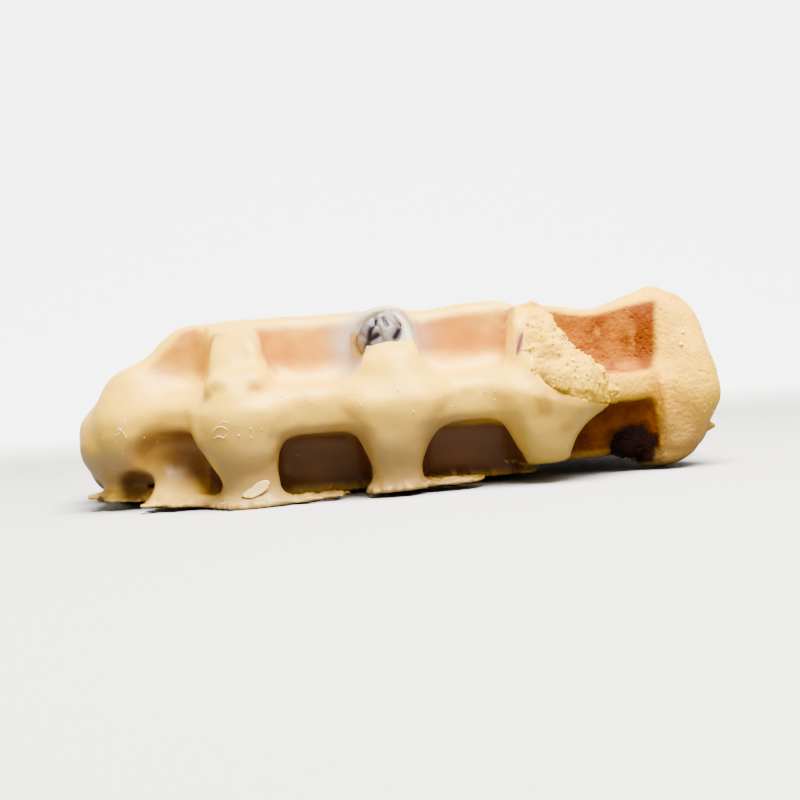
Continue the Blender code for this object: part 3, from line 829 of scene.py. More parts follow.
class Sculptor:
    """Turns a signed distance into a closed mesh.

    Attributes:
        coarse_every: every which node of the grid is sampled first.
        band: how near the surface each node is then sampled.
        at_once: how many points are worked out together.
        newton_steps: how often the points are drawn towards the surface.
        newton_reach: how far a point may move in one step.
    """

    coarse_every = 3
    band = 2.6
    at_once = 300_000
    newton_steps = 2
    newton_reach = 0.25

    def __init__(self, form: object, axes: tuple[Array, Array, Array]) -> None:
        """Takes what is sampled, and where.

        Args:
            form: what has a distance method.
            axes: the places of the sampling grid along X, Y and Z.
        """
        self.form = form
        self.axes = axes

    def distances(self, points: Array) -> Array:
        """The distance at many points, taken in batches."""
        parts = [
            self.form.distance(points[start : start + self.at_once])
            for start in range(0, len(points), self.at_once)
        ]
        return np.concatenate(parts)

    def sample(self) -> Array:
        """The distance at each node: blended between every third one, then exact near the surface."""
        coarse_axes = [np.unique(np.append(axis[:: self.coarse_every], axis[-1])) for axis in self.axes]
        nodes = np.stack(np.meshgrid(*coarse_axes, indexing="ij"), axis=-1)
        field = self.distances(nodes.reshape(-1, 3)).reshape(nodes.shape[:3])
        for k, (fine, coarse) in enumerate(zip(self.axes, coarse_axes)):
            low = np.clip(np.searchsorted(coarse, fine, side="right") - 1, 0, len(coarse) - 2)
            share = (fine - coarse[low]) / (coarse[low + 1] - coarse[low])
            share = share.reshape([-1 if axis == k else 1 for axis in range(3)])
            lower, upper = np.take(field, low, axis=k), np.take(field, low + 1, axis=k)
            field = lower * (1.0 - share) + upper * share
        close = np.argwhere(np.abs(field) < self.band)
        places = np.column_stack([axis[close[:, k]] for k, axis in enumerate(self.axes)])
        field[tuple(close.T)] = self.distances(places)
        return field

    def cell_points(self, field: Array) -> tuple[Array, Array]:
        """One point for each cell that the surface crosses: the mean of its edges' crossings.

        Args:
            field: the sampled distance.

        Returns:
            The points, and for each cell the number of its point or -1.
        """
        inside = field < 0.0
        shape = tuple(n - 1 for n in field.shape)

        def corner(grid: Array, at: Array) -> Array:
            """The grid's values at one corner of each cell."""
            return grid[tuple(slice(a, a + n) for a, n in zip(at, shape))]

        count = sum(corner(inside, at).astype(np.int8) for at in itertools.product((0, 1), repeat=3))
        mixed = (count > 0) & (count < 8)
        number = np.full(shape, -1, np.int64)
        number[mixed] = np.arange(mixed.sum())
        cells = np.argwhere(mixed)
        total = np.zeros((len(cells), 3))
        crossings = np.zeros(len(cells))
        for axis, (a, b) in itertools.product(range(3), itertools.product((0, 1), repeat=2)):
            start = np.insert(np.array((a, b)), axis, 0)
            end = np.insert(np.array((a, b)), axis, 1)
            one, other = corner(field, start)[mixed], corner(field, end)[mixed]
            crossed = (one < 0.0) != (other < 0.0)
            share = one / np.where(crossed, one - other, 1.0)
            place = np.repeat(start[None, :].astype(float), len(cells), axis=0)
            place[:, axis] = share
            total += place * crossed[:, None]
            crossings += crossed
        within = total / crossings[:, None]
        points = np.empty_like(within)
        for axis, places in enumerate(self.axes):
            low = places[cells[:, axis]]
            points[:, axis] = low + within[:, axis] * (places[cells[:, axis] + 1] - low)
        return points, number

    @staticmethod
    def quads(field: Array, number: Array) -> Array:
        """A quad for each grid edge that the surface crosses, facing from inside to outside."""
        inside = field < 0.0
        found = []
        for axis in range(3):
            low = np.take(inside, range(field.shape[axis] - 1), axis)
            high = np.take(inside, range(1, field.shape[axis]), axis)
            crossed = low != high
            u, v = (axis + 1) % 3, (axis + 2) % 3
            trim = [slice(None)] * 3
            trim[u] = slice(1, field.shape[u] - 1)
            trim[v] = slice(1, field.shape[v] - 1)
            at = np.argwhere(crossed[tuple(trim)])
            at[:, u] += 1
            at[:, v] += 1
            rising = low[tuple(at.T)]
            ring = []
            for du, dv in ((-1, -1), (0, -1), (0, 0), (-1, 0)):
                cell = at.copy()
                cell[:, u] += du
                cell[:, v] += dv
                ring.append(number[tuple(cell.T)])
            faces = np.column_stack(ring)
            found.append(np.where(rising[:, None], faces, faces[:, ::-1]))
        return np.concatenate(found)

    @staticmethod
    def largest_part(points: Array, faces: Array) -> tuple[Array, Array]:
        """Drops the loose scraps: each point takes the lowest number that it is joined to.

        Args:
            points: all points.
            faces: all quads.

        Returns:
            The points and the quads of the largest connected part.
        """
        one, other = faces.ravel(), np.roll(faces, -1, axis=1).ravel()
        label, joined = np.full(len(points), -1), np.arange(len(points))
        while not np.array_equal(label, joined):
            label = joined
            low = np.minimum(label[one], label[other])
            joined = label.copy()
            np.minimum.at(joined, label[one], low)
            np.minimum.at(joined, label[other], low)
            joined = joined[joined]
        kept = label == np.bincount(label).argmax()
        renumbered = np.cumsum(kept) - 1
        return points[kept], renumbered[faces[kept[faces[:, 0]]]]

    def slope(self, points: Array, step: float = 0.05) -> tuple[Array, Array]:
        """The distance and its unit gradient, by differences over a small step."""
        here = self.form.distance(points)
        slope = np.empty_like(points)
        for axis in range(3):
            moved = points.copy()
            moved[:, axis] += step
            slope[:, axis] = (self.form.distance(moved) - here) / step
        return here, slope

    def surface(self) -> tuple[Array, Array, Array]:
        """Points on the surface, quads between them and the unit normals.

        Returns:
            The points drawn onto the zero of the distance by Newton steps, the quads, the normals.
        """
        field = self.sample()
        points, number = self.cell_points(field)
        points, faces = self.largest_part(points, self.quads(field, number))
        for _ in range(self.newton_steps):
            here, slope = self.slope(points)
            steep = np.maximum(np.sum(slope**2, axis=1), 0.2)
            move = -(here / steep)[:, None] * slope
            reach = np.linalg.norm(move, axis=1, keepdims=True)
            points = points + move * np.minimum(1.0, self.newton_reach / np.maximum(reach, 1e-9))
        _, slope = self.slope(points)
        return points, faces, slope / np.linalg.norm(slope, axis=1, keepdims=True)


def add_object(name: str, data: bpy.types.ID) -> bpy.types.Object:
    """A new object of the scene, at the origin."""
    made = bpy.data.objects.new(name, data)
    bpy.context.scene.collection.objects.link(made)
    return made


def smooth_mesh(name: str, points: Array, faces: Array | list) -> bpy.types.Mesh:
    """A mesh shaded smooth, from points in metres."""
    mesh = bpy.data.meshes.new(name)
    mesh.from_pydata(points, [], faces if isinstance(faces, list) else faces.tolist())
    mesh.polygons.foreach_set("use_smooth", np.ones(len(faces), bool))
    return mesh


def add_mesh(name: str, points: Array, faces: Array | list, masks: dict[str, Array]) -> bpy.types.Object:
    """A mesh object of the frame from points in the forms' own millimetres.

    Args:
        name: the piece's name.
        points: places, one row each.
        faces: rows of point numbers; a list where they differ in length.
        masks: a value for each point by name, which the materials read.

    Returns:
        The object, at the origin, shaded smooth.
    """
    mesh = smooth_mesh(name, (points + FOOTPRINT_SHIFT) * MM, faces)
    for mask, values in masks.items():
        attribute = mesh.attributes.new(mask, "FLOAT", "POINT")
        attribute.data.foreach_set("value", np.asarray(values, np.float32))
    mesh.update()
    return add_object(name, mesh)


class Tree:
    """A node tree under construction, with short calls for the nodes that the finishes use."""

    def __init__(self, tree: bpy.types.NodeTree) -> None:
        """Takes the tree to build in."""
        self.tree = tree

    def add(self, kind: str, **settings: object) -> bpy.types.Node:
        """A new node with these properties set."""
        node = self.tree.nodes.new(kind)
        for name, value in settings.items():
            setattr(node, name, value)
        return node

    def link(self, source: object, target: bpy.types.NodeSocket) -> None:
        """Feeds a socket from another one, or sets it where the source is a plain value."""
        if isinstance(source, bpy.types.NodeSocket):
            self.tree.links.new(source, target)
        else:
            target.default_value = source

    def fill(self, node: bpy.types.Node, **values: object) -> None:
        """Feeds or sets a node's inputs by name, an underscore standing for a space."""
        for name, value in values.items():
            self.link(value, node.inputs[name.replace("_", " ")])

    def math(self, operation: str, *sources: object) -> bpy.types.NodeSocket:
        """A Math node's result from two or three sockets or values."""
        node = self.add("ShaderNodeMath", operation=operation)
        for source, target in zip(sources, node.inputs):
            self.link(source, target)
        return node.outputs[0]

    def mask(self, name: str) -> bpy.types.NodeSocket:
        """The value of a mesh's own mask."""
        return self.add("ShaderNodeAttribute", attribute_name=name).outputs["Fac"]

    def blend(self, share: object, one: object, other: object, mode: str = "MIX") -> bpy.types.NodeSocket:
        """A colour between two, by a share."""
        node = self.add("ShaderNodeMix", data_type="RGBA", blend_type=mode)
        self.link(share, node.inputs["Factor"])
        colours = [socket for socket in node.inputs if socket.type == "RGBA"]
        for source, socket in zip((one, other), colours):
            self.link((*source, 1.0) if isinstance(source, tuple) else source, socket)
        return next(socket for socket in node.outputs if socket.type == "RGBA")

    def layered(self, colour: object, **tints: object) -> bpy.types.NodeSocket:
        """Tints laid over a colour one by one, each by the mesh's mask of its name."""
        for name, tint in tints.items():
            colour = self.blend(self.mask(name), colour, tint)
        return colour


def effect_tree(
    name: str, inputs: dict[str, float], outputs: tuple[str, ...]
) -> tuple[Tree, bpy.types.Node, bpy.types.Node]:
    """A new node group with float sockets.

    Args:
        name: the group's name.
        inputs: its inputs with their usual values.
        outputs: its outputs.

    Returns:
        The tree, its input node and its output node.
    """
    group = bpy.data.node_groups.new(name, "ShaderNodeTree")
    for socket, value in inputs.items():
        made = group.interface.new_socket(socket, in_out="INPUT", socket_type="NodeSocketFloat")
        made.default_value = value
    for socket in outputs:
        group.interface.new_socket(socket, in_out="OUTPUT", socket_type="NodeSocketFloat")
    tree = Tree(group)
    return tree, tree.add("NodeGroupInput"), tree.add("NodeGroupOutput")


def make_clouds() -> bpy.types.NodeTree:
    """Cloudy patches: noise of a scale in 1/m, cut to a soft mask between two levels."""
    tree, source, target = effect_tree(
        "cloudy_patches", {"Scale": 120.0, "Detail": 4.0, "Low": 0.4, "High": 0.6, "Shift": 0.0}, ("Mask",)
    )
    given = source.outputs
    noise = tree.add("ShaderNodeTexNoise", noise_dimensions="4D")
    place = tree.add("ShaderNodeTexCoord").outputs["Object"]
    tree.fill(noise, Vector=place, W=given["Shift"], Scale=given["Scale"], Detail=given["Detail"])
    cut = tree.add("ShaderNodeMapRange", interpolation_type="SMOOTHSTEP")
    tree.fill(cut, Value=noise.outputs[0], From_Min=given["Low"], From_Max=given["High"])
    tree.fill(target, Mask=cut.outputs[0])
    return tree.tree


def make_pits() -> bpy.types.NodeTree:
    """Small pits: cells of a scale in 1/m, each a round dent where the cell's draw is low enough."""
    tree, source, target = effect_tree("small_pits", {"Scale": 900.0, "Width": 0.3, "Share": 0.4}, ("Pit",))
    given = source.outputs
    cells = tree.add("ShaderNodeTexVoronoi")
    place = tree.add("ShaderNodeTexCoord").outputs["Object"]
    tree.fill(cells, Vector=place, Scale=given["Scale"])
    dent = tree.add("ShaderNodeMapRange", interpolation_type="SMOOTHSTEP")
    tree.fill(dent, Value=cells.outputs["Distance"], From_Min=given["Width"], From_Max=0.0)
    red = tree.add("ShaderNodeSeparateColor")
    tree.link(cells.outputs["Color"], red.inputs[0])
    chosen = tree.math("LESS_THAN", red.outputs[0], given["Share"])
    tree.fill(target, Pit=tree.math("MULTIPLY", dent.outputs[0], chosen))
    return tree.tree


class Effects:
    """The shared effects: each is one node group, which all finishes use."""

    def __init__(self) -> None:
        """Builds the node groups."""
        self.cloud_group = make_clouds()
        self.pit_group = make_pits()

    def clouds(
        self, tree: Tree, scale: float, detail: float, levels: tuple[float, float], shift: float = 0.0
    ) -> bpy.types.NodeSocket:
        """Cloudy patches in a finish.

        Args:
            tree: the finish's tree.
            scale: the noise's scale in 1/m.
            detail: how many finer waves it has.
            levels: the noise at which the mask is 0, and at which it is 1.
            shift: which noise.

        Returns:
            The mask.
        """
        node = tree.add("ShaderNodeGroup", node_tree=self.cloud_group)
        tree.fill(node, Scale=scale, Detail=detail, Low=levels[0], High=levels[1], Shift=shift)
        return node.outputs["Mask"]

    def pits(self, tree: Tree, scale: float, width: float, share: float) -> bpy.types.NodeSocket:
        """Small pits in a finish.

        Args:
            tree: the finish's tree.
            scale: the cells' scale in 1/m.
            width: the dents' width as a share of the cells'.
            share: how many of the cells have one.

        Returns:
            The depth, from 0 to 1.
        """
        node = tree.add("ShaderNodeGroup", node_tree=self.pit_group)
        tree.fill(node, Scale=scale, Width=width, Share=share)
        return node.outputs["Pit"]


def new_finish(name: str) -> tuple[bpy.types.Material, Tree, bpy.types.Node]:
    """A material with its Principled shader, and the tree to build in."""
    material = bpy.data.materials.new(name)
    material.use_nodes = True
    tree = Tree(material.node_tree)
    return material, tree, material.node_tree.nodes["Principled BSDF"]


def bump(tree: Tree, height: object, depth: float, strength: float = 1.0) -> bpy.types.NodeSocket:
    """A Bump node's normal from a height, of this depth in metres."""
    node = tree.add("ShaderNodeBump")
    tree.fill(node, Distance=depth, Strength=strength, Height=height)
    return node.outputs[0]


@dataclass(frozen=True)
class IcingFinish:
    """Set pale icing: satin, cloudy, and tinted where it is thin over browned dough, with painted shade low
    down, in the pockets and along a crease.
    """

    cream: Colour = (0.95, 0.585, 0.03)
    warm: Colour = (0.93, 0.48, 0.005)
    over_brown: Colour = (0.46, 0.155, 0.0)
    in_shade: Colour = (0.17, 0.068, 0.024)
    # under: painted shade where the icing faces down or lies low on the front
    under: Colour = (0.33, 0.205, 0.075)
    berry_tint: Colour = (0.45, 0.41, 0.36)
    # plum: the slit's berry stain, and also a painted shadow line beside the first post's ridge
    plum: Colour = (0.36, 0.10, 0.075)
    ochre: Colour = (0.42, 0.22, 0.01)
    roughness: float = 0.36
    name: str = "set_icing"

    def make(self, effects: Effects) -> bpy.types.Material:
        """The material; it reads the masks thin_over, under, shaded, halo, plum and ochre; under and shaded
        paint shade, and plum carries a painted shadow line beside the slit's stain.
        """
        material, tree, shader = new_finish(self.name)
        clouds = effects.clouds(tree, 95.0, 3.0, (0.38, 0.72))
        colour = tree.blend(tree.math("MULTIPLY", clouds, 0.55), self.cream, self.warm)
        patches = effects.clouds(tree, 140.0, 3.0, (0.25, 0.6), 3.0)
        patchy = tree.math("MULTIPLY_ADD", patches, 0.35, 0.65)
        thin = tree.math("MULTIPLY", tree.mask("thin_over"), patchy)
        colour = tree.blend(thin, colour, self.over_brown)
        # under and shaded lay painted shade over the colour; halo and plum are tints, and plum also carries
        # a painted shadow line
        colour = tree.layered(
            colour, under=self.under, shaded=self.in_shade, halo=self.berry_tint, plum=self.plum
        )
        specks = tree.math("MULTIPLY", effects.pits(tree, 420.0, 0.16, 0.12), 0.35)
        colour = tree.layered(tree.blend(specks, colour, self.ochre), ochre=self.ochre)
        gloss = effects.clouds(tree, 260.0, 5.0, (0.3, 0.7), 7.0)
        ripple = effects.clouds(tree, 330.0, 2.0, (0.2, 0.8), 11.0)
        pits = tree.math("MULTIPLY", effects.pits(tree, 650.0, 0.22, 0.10), 0.6)
        tree.fill(
            shader,
            Base_Color=colour,
            Roughness=tree.math("MULTIPLY_ADD", gloss, 0.14, self.roughness - 0.07),
            Specular_IOR_Level=0.40,
            Specular_Tint=(1.0, 0.86, 0.62, 1.0),
            Subsurface_Weight=0.22,
            Subsurface_Radius=(1.0, 0.6, 0.3),
            Subsurface_Scale=1.2 * MM,
            Normal=bump(tree, tree.math("SUBTRACT", ripple, pits), 0.10 * MM, 0.6),
        )
        return material


@dataclass(frozen=True)
class DoughFinish:
    """Baked brioche dough: pale free crust, open yellow crumb, and deep gold where the iron touched it;
    painted shade darkens it low down and in the bump's corner, and the walls below the web are darker from
    deeper browning and painted shade.
    """

    crust: Colour = (0.95, 0.53, 0.01)
    crust_gold: Colour = (0.66, 0.27, 0.0)
    # under: painted shade, darker towards the bottom of the bare end
    under: Colour = (0.40, 0.22, 0.06)
    crumb: Colour = (0.94, 0.56, 0.02)
    crumb_deep: Colour = (0.76, 0.42, 0.0)
    crumb_ochre_spot: Colour = (0.27, 0.135, 0.0)
    browned: Colour = (0.31, 0.092, 0.0)
    # browned_deep: dark browned patches, and also the painted shade in the bump's corner
    browned_deep: Colour = (0.16, 0.030, 0.0)
    browned_light: Colour = (0.58, 0.22, 0.0)
    # lower_wall and lower_light: the walls below the web, darker from deeper browning and from painted
    # shade
    lower_wall: Colour = (0.14, 0.025, 0.0)
    lower_light: Colour = (0.30, 0.080, 0.0)
    juice: Colour = (0.012, 0.003, 0.003)
    roughness: float = 0.62

    def make(self, effects: Effects) -> bpy.types.Material:
        """The material; it reads the masks browned, deep, lower_wall, torn, ochre, under and juice; deep
        and under are painted shade, and lower_wall is partly painted shade.
        """
        material, tree, shader = new_finish("baked_dough")
        clouds = effects.clouds(tree, 110.0, 5.0, (0.40, 0.68))
        colour = tree.blend(tree.math("MULTIPLY", clouds, 0.75), self.crust, self.crust_gold)
        grain = effects.clouds(tree, 520.0, 6.0, (0.34, 0.66), 2.0)
        crumb = tree.blend(grain, self.crumb_deep, self.crumb)
        patches = effects.clouds(tree, 230.0, 6.0, (0.34, 0.62), 5.0)
        brown = tree.blend(patches, self.browned_deep, self.browned)
        lights = effects.clouds(tree, 430.0, 6.0, (0.52, 0.74), 9.0)
        brown = tree.blend(tree.math("MULTIPLY", lights, 0.7), brown, self.browned_light)
        lower = tree.blend(tree.math("MULTIPLY", patches, 0.55), self.lower_wall, self.lower_light)
        # deep paints shade in the bump's corner; lower_wall darkens the walls below the web, partly as
        # painted shade
        brown = tree.layered(brown, deep=self.browned_deep, lower_wall=lower)
        # under: painted shade low down
        colour = tree.layered(
            colour, torn=crumb, ochre=self.crumb_ochre_spot, under=self.under, browned=brown, juice=self.juice
        )
        pits = effects.pits(tree, 900.0, 0.30, 0.35)
        fine = effects.clouds(tree, 1500.0, 6.0, (0.1, 0.9), 4.0)
        tree.fill(
            shader,
            Base_Color=colour,
            Roughness=self.roughness,
            Specular_IOR_Level=0.14,
            Specular_Tint=(1.0, 0.75, 0.4, 1.0),
            Subsurface_Weight=0.12,
            Subsurface_Radius=(1.0, 0.5, 0.2),
            Subsurface_Scale=0.8 * MM,
            Normal=bump(tree, tree.math("SUBTRACT", fine, pits), 0.20 * MM, 0.9),
        )
        return material


@dataclass(frozen=True)
class BerryFinish:
    """Baked blueberry skin: nearly black, darker still in its folds as painted shade, with a milky film of
    icing on its ridges.
    """

    name: str = "berry_skin"
    skin: Colour = (0.030, 0.018, 0.040)
    fold_shade: Colour = (0.006, 0.003, 0.009)
    film: Colour = (0.225, 0.195, 0.19)
    roughness: float = 0.32
    gleam: float = 0.3

    def make(self, effects: Effects) -> bpy.types.Material:
        """The material; it reads the masks film and ridge."""
        material, tree, shader = new_finish(self.name)
        veil = tree.math("MULTIPLY_ADD", effects.clouds(tree, 420.0, 4.0, (0.30, 0.60)), 0.35, 0.65)
        film = tree.math("MULTIPLY", tree.mask("film"), veil)
        fine = effects.clouds(tree, 1100.0, 4.0, (0.2, 0.8), 2.0)
        tree.fill(
            shader,
            Base_Color=tree.blend(film, tree.layered(self.fold_shade, ridge=self.skin), self.film),
            Roughness=self.roughness,
            Specular_IOR_Level=self.gleam,
            Normal=bump(tree, fine, 0.10 * MM, 0.7),
        )
        return material


@dataclass(frozen=True)
class CrystalFinish:
    """Pearl sugar and bright beads: whitish, half clear, with a wet gleam; on the icing's beads the whiter
    colours are a painted glint.
    """

    name: str = "pearl_sugar"
    white: Colour = (0.96, 0.76, 0.42)
    clear: Colour = (0.88, 0.62, 0.22)
    roughness: float = 0.22

    def make(self, effects: Effects) -> bpy.types.Material:
        """The material, clouded from grain to grain."""
        material, tree, shader = new_finish(self.name)
        clouds = effects.clouds(tree, 900.0, 3.0, (0.35, 0.65))
        tree.fill(
            shader,
            Base_Color=tree.blend(clouds, self.clear, self.white),
            Roughness=self.roughness,
            Subsurface_Weight=0.3,
            Subsurface_Scale=0.5 * MM,
        )
        return material


@dataclass(frozen=True)
class SliverFinish:
    """A berry's skin seen through a tear in the icing: plum, darkest in its middle."""

    edge: Colour = (0.50, 0.19, 0.13)
    core: Colour = (0.10, 0.025, 0.035)

    def make(self, effects: Effects) -> bpy.types.Material:
        """The material; it reads the mask core."""
        material, tree, shader = new_finish("plum_skin")
        clouds = effects.clouds(tree, 1400.0, 3.0, (0.30, 0.70))
        share = tree.math("MULTIPLY_ADD", clouds, 0.3, tree.mask("core"))
        tree.fill(shader, Base_Color=tree.blend(share, self.edge, self.core), Roughness=0.4)
        return material


@dataclass(frozen=True)
class StudioFinish:
    """The plain pale floor, a softer grey round the waffle and bright at the back.

    Attributes:
        near_until: how far back from the waffle's middle it keeps its near colour.
        far_from: how far back it is as bright as the backdrop.
        glow: strength of the backdrop's light.
        bounce: share of its near colour that it throws back.
    """

    near: Colour = (0.62, 0.64, 0.69)
    far: Colour = (0.93, 0.93, 0.93)
    near_until: float = 130.0
    far_from: float = 480.0
    glow: float = 4.5
    bounce: float = 0.25

    def make(self) -> bpy.types.Material:
        """The material: matt, its colour and its glow rising from the waffle to the backdrop.

        Near the waffle it throws back less light than it shows, so the waffle's underside stays in shade.
        """
        material, tree, shader = new_finish("pale_floor")
        place = tree.add("ShaderNodeSeparateXYZ")
        tree.link(tree.add("ShaderNodeTexCoord").outputs["Object"], place.inputs[0])
        rise = tree.add("ShaderNodeMapRange", interpolation_type="SMOOTHSTEP")
        start, end = self.near_until * MM, self.far_from * MM
        tree.fill(rise, Value=place.outputs["Y"], From_Min=start, From_Max=end)
        far = rise.outputs[0]
        seen = tree.add("ShaderNodeLightPath").outputs["Is Camera Ray"]
        dim = tuple(value * self.bounce for value in self.near)
        shown = tree.math("MULTIPLY_ADD", seen, 0.85, 0.15)
        tree.fill(
            shader,
            Base_Color=tree.blend(far, tree.blend(seen, dim, self.near), self.far),
            Emission_Color=tree.blend(tree.math("MULTIPLY", far, shown), (0.0, 0.0, 0.0), (self.glow,) * 3),
            Emission_Strength=1.0,
            Roughness=0.9,
            Specular_IOR_Level=0.1,
        )
        return material


def drawn_lines(points: Array, lines: tuple) -> Array:
    """Share of bent lines drawn on the near side: strength exp(-(d / w)^2), cut off past their ends.

    Args:
        points: places on the surface.
        lines: rows of (half width, strength, (X, Z), (X, Z), ...).

    Returns:
        The share, from 0 to the line's strength.
    """
    share = np.zeros(len(points))
    flat = points[:, (0, 2)]
    for width, strength, *spots in lines:
        for start, end in zip(np.array(spots[:-1]), np.array(spots[1:])):
            run = end - start
            along = np.clip((flat - start) @ run / (run @ run), 0.0, 1.0)
            away = np.linalg.norm(flat - start - along[:, None] * run, axis=1)
            share = np.maximum(share, strength * np.exp(-((away / width) ** 2)))
    return share


def ragged_ovals(points: Array, ovals: tuple, ragged: Array, rim: tuple[float, float]) -> Array:
    """Share of soft spots on the near side.

    Args:
        points: places on the surface.
        ovals: rows of ((X, Z), (half width, half height), strength).
        ragged: how far the rim strays at each point.
        rim: where the share is 0 and where it is full, in half sizes.

    Returns:
        The share, from 0 to the oval's strength.
    """
    share = np.zeros(len(points))
    for (x, z), (half_x, half_z), strength in ovals:
        out = np.hypot((points[:, 0] - x) / half_x, (points[:, 2] - z) / half_z)
        share = np.maximum(share, strength * smooth_step(*rim, out + ragged))
    return share


@dataclass
class IcingCoat:
    """The coat of icing, as one closed piece.

    Attributes:
        thin_spots: where the dough shows through, as rows of ((X, Z), half sizes, strength).
        crease_lines: browned creases, as rows of (half width, strength, (X, Z), (X, Z), ...).
        shadow_lines: painted plum shadow along creases, in the same way.
        slit: the tear over the third post's berry skin, as centre and half sizes.
        slit_lean: how far its top leans right, over its height.
    """

    form: IcingForm
    ripple_height: float = 0.07
    ripples: Unevenness = Unevenness(2, 3.0, 2)
    cloud_noise: Unevenness = Unevenness(21, 11.0, 2)
    spot_noise: Unevenness = Unevenness(27, 1.6, 2)
    thin_spots: tuple = (
        ((-26.6, 19.4), (1.5, 1.1), 0.55),
        ((-21.4, 19.2), (1.2, 1.0), 0.5),
        ((-8.2, 11.6), (2.0, 0.7), 0.6),
        ((23.4, 12.8), (1.5, 1.9), 0.7),
        ((26.9, 8.9), (1.3, 0.8), 0.4),
        ((19.4, 2.6), (2.0, 0.6), 0.6),
        ((11.6, 15.6), (1.2, 0.8), 0.4),
    )
    crease_lines: tuple = ((0.5, 0.9, (-28.9, 28.6), (-29.5, 24.5), (-29.8, 20.8)),)
    shadow_lines: tuple = ((0.35, 0.45, (-21.7, 27.0), (-20.2, 24.9), (-18.9, 22.7), (-18.0, 20.8)),)
    slit: tuple = ((20.9, -36.5, 22.4), (0.55, 4.0, 1.9))
    slit_lean: float = 0.55

    def masks(self, points: Array, normals: Array) -> dict[str, Array]:
        """Where the icing is thin over browned dough, where shade is painted on it (low down, facing down,
        in the pockets and along a crease), and where a berry tints it.

        Args:
            points: places on the surface.
            normals: unit normals there.

        Returns:
            The masks by name.
        """
        near_side = smooth_step(-23.0, -26.0, points[:, 1])
        creases = drawn_lines(points, self.crease_lines) * near_side
        shadows = drawn_lines(points, self.shadow_lines) * near_side
        return {
            "thin_over": np.maximum(self.browned_through(points, normals), creases),
            # under: painted shade low down and where the icing faces down
            "under": self.underside(points, normals),
            "shaded": self.pocket_shade(points, normals),
            "halo": self.berry_halo(points),
            # plum: the slit's real stain, with the shadow lines as painted shadow
            "plum": np.maximum(self.slit_stain(points), shadows),
            "ochre": self.ochre_spots(points),
        }

    def browned_through(self, points: Array, normals: Array) -> Array:
        """How far browned dough shows through: on the steep walls below the crests, and on the web."""
        dough = self.form.dough
        x, _, z = points.T
        depth = dough.outline.depth_inside(points)
        in_left_well = smooth_step(-27.5, -30.0, x) * smooth_step(-45.0, -40.0, x)
        inside = np.maximum(smooth_step(4.5, 8.0, depth), smooth_step(2.0, 5.0, depth) * in_left_well)
        clouds = 0.5 + 0.5 * self.cloud_noise.at(points)
        low_edge = dough.middle + 5.2 + 2.4 * (clouds - 0.5)
        below_crest = smooth_step(0.9, 2.6, dough.crest_height(points) + self.form.thickness - z)
        steep = smooth_step(0.85, 0.45, np.abs(normals[:, 2]))
        wall = inside * steep * smooth_step(low_edge, low_edge + 3.2, z) * below_crest
        level = smooth_step(0.55, 0.9, normals[:, 2])
        pool = inside * level * smooth_step(5.5, 3.5, np.abs(z - dough.middle)) * (0.25 + 0.4 * clouds)
        return np.maximum(wall * (0.72 + 0.45 * clouds), pool)

    def underside(self, points: Array, normals: Array) -> Array:
        """Painted shade: how far the icing is darkened where it faces down or lies low on the front."""
        x, y, z = points.T
        down = smooth_step(0.15, -0.55, normals[:, 2]) * smooth_step(15.5, 11.0, z)
        front = 0.50 + 0.34 * smooth_step(-34.0, -38.0, y)
        under = np.maximum(0.9 * down, front * smooth_step(17.5, 6.5, z))
        return under * (1.0 - 0.40 * smooth_step(8.0, 16.0, x))

    def pocket_shade(self, points: Array, normals: Array) -> Array:
        """Deep shade low on the walls, at the back of the first lower opening and in the left hollow."""
        x, _, z = points.T
        depth = self.form.dough.outline.depth_inside(points)
        wall = smooth_step(11.8, 9.8, z) * smooth_step(3.5, 6.5, depth) * smooth_step(0.8, 2.6, z)
        wall = wall * smooth_step(0.9, 0.4, np.abs(normals[:, 2])) * (x > -30.0)
        opening = smooth_step(1.8, 0.2, self.form.opening(points)) * smooth_step(2.6, 5.6, z)
        opening = opening * smooth_step(-36.5, -31.5, self.form.flared(points)[:, 1])
        opening = 0.80 * opening * (0.25 + 0.75 * smooth_step(-41.0, -34.5, x))
        hollow = 0.8 * smooth_step(1.1, 0.0, ellipsoid(points, *self.form.hollow))
        return np.maximum(wall, np.maximum(opening, hollow))

    def berry_halo(self, points: Array) -> Array:
        """The bluish cast round the top berry, widest at its left."""
        y = points[:, 1]
        apart = (points - np.array(self.form.berry_centre)) / np.array(self.form.berry_half_sizes)
        away = np.linalg.norm(apart, axis=1)
        left_side = smooth_step(0.5, -0.3, apart[:, 0] + 0.25 * apart[:, 2])
        wide = smooth_step(2.5, 1.2, away) * np.maximum(left_side, 0.35 * smooth_step(-37.5, -35.0, y))
        return 0.9 * np.maximum(wide, smooth_step(1.55, 1.15, away)) * smooth_step(-38.5, -36.0, y)

    def slit_stain(self, points: Array) -> Array:
        """The plum stain round the tear over the third post's berry skin."""
        centre, half_sizes = self.slit
        apart = (points - np.array(centre)) / np.array(half_sizes)
        apart[:, 0] -= self.slit_lean * apart[:, 2]
        return 0.75 * smooth_step(1.5, 0.5, np.linalg.norm(apart, axis=1))

    def ochre_spots(self, points: Array) -> Array:
        """Where the dough shows through as an ochre spot, and faintly along the edge over the crumb."""
        y, z = points[:, 1], points[:, 2]
        ragged = 0.35 * self.spot_noise.at(points)
        spots = ragged_ovals(points, self.thin_spots, ragged, (1.25, 0.55)) * smooth_step(-33.0, -36.0, y)
        crumby = smooth_step(-3.2, -0.3, self.form.edge.beyond(points) + 2.0 * ragged)
        crumby = crumby * smooth_step(-30.0, -33.0, y) * smooth_step(10.0, 12.0, z)
        return np.maximum(spots, 0.12 * crumby)

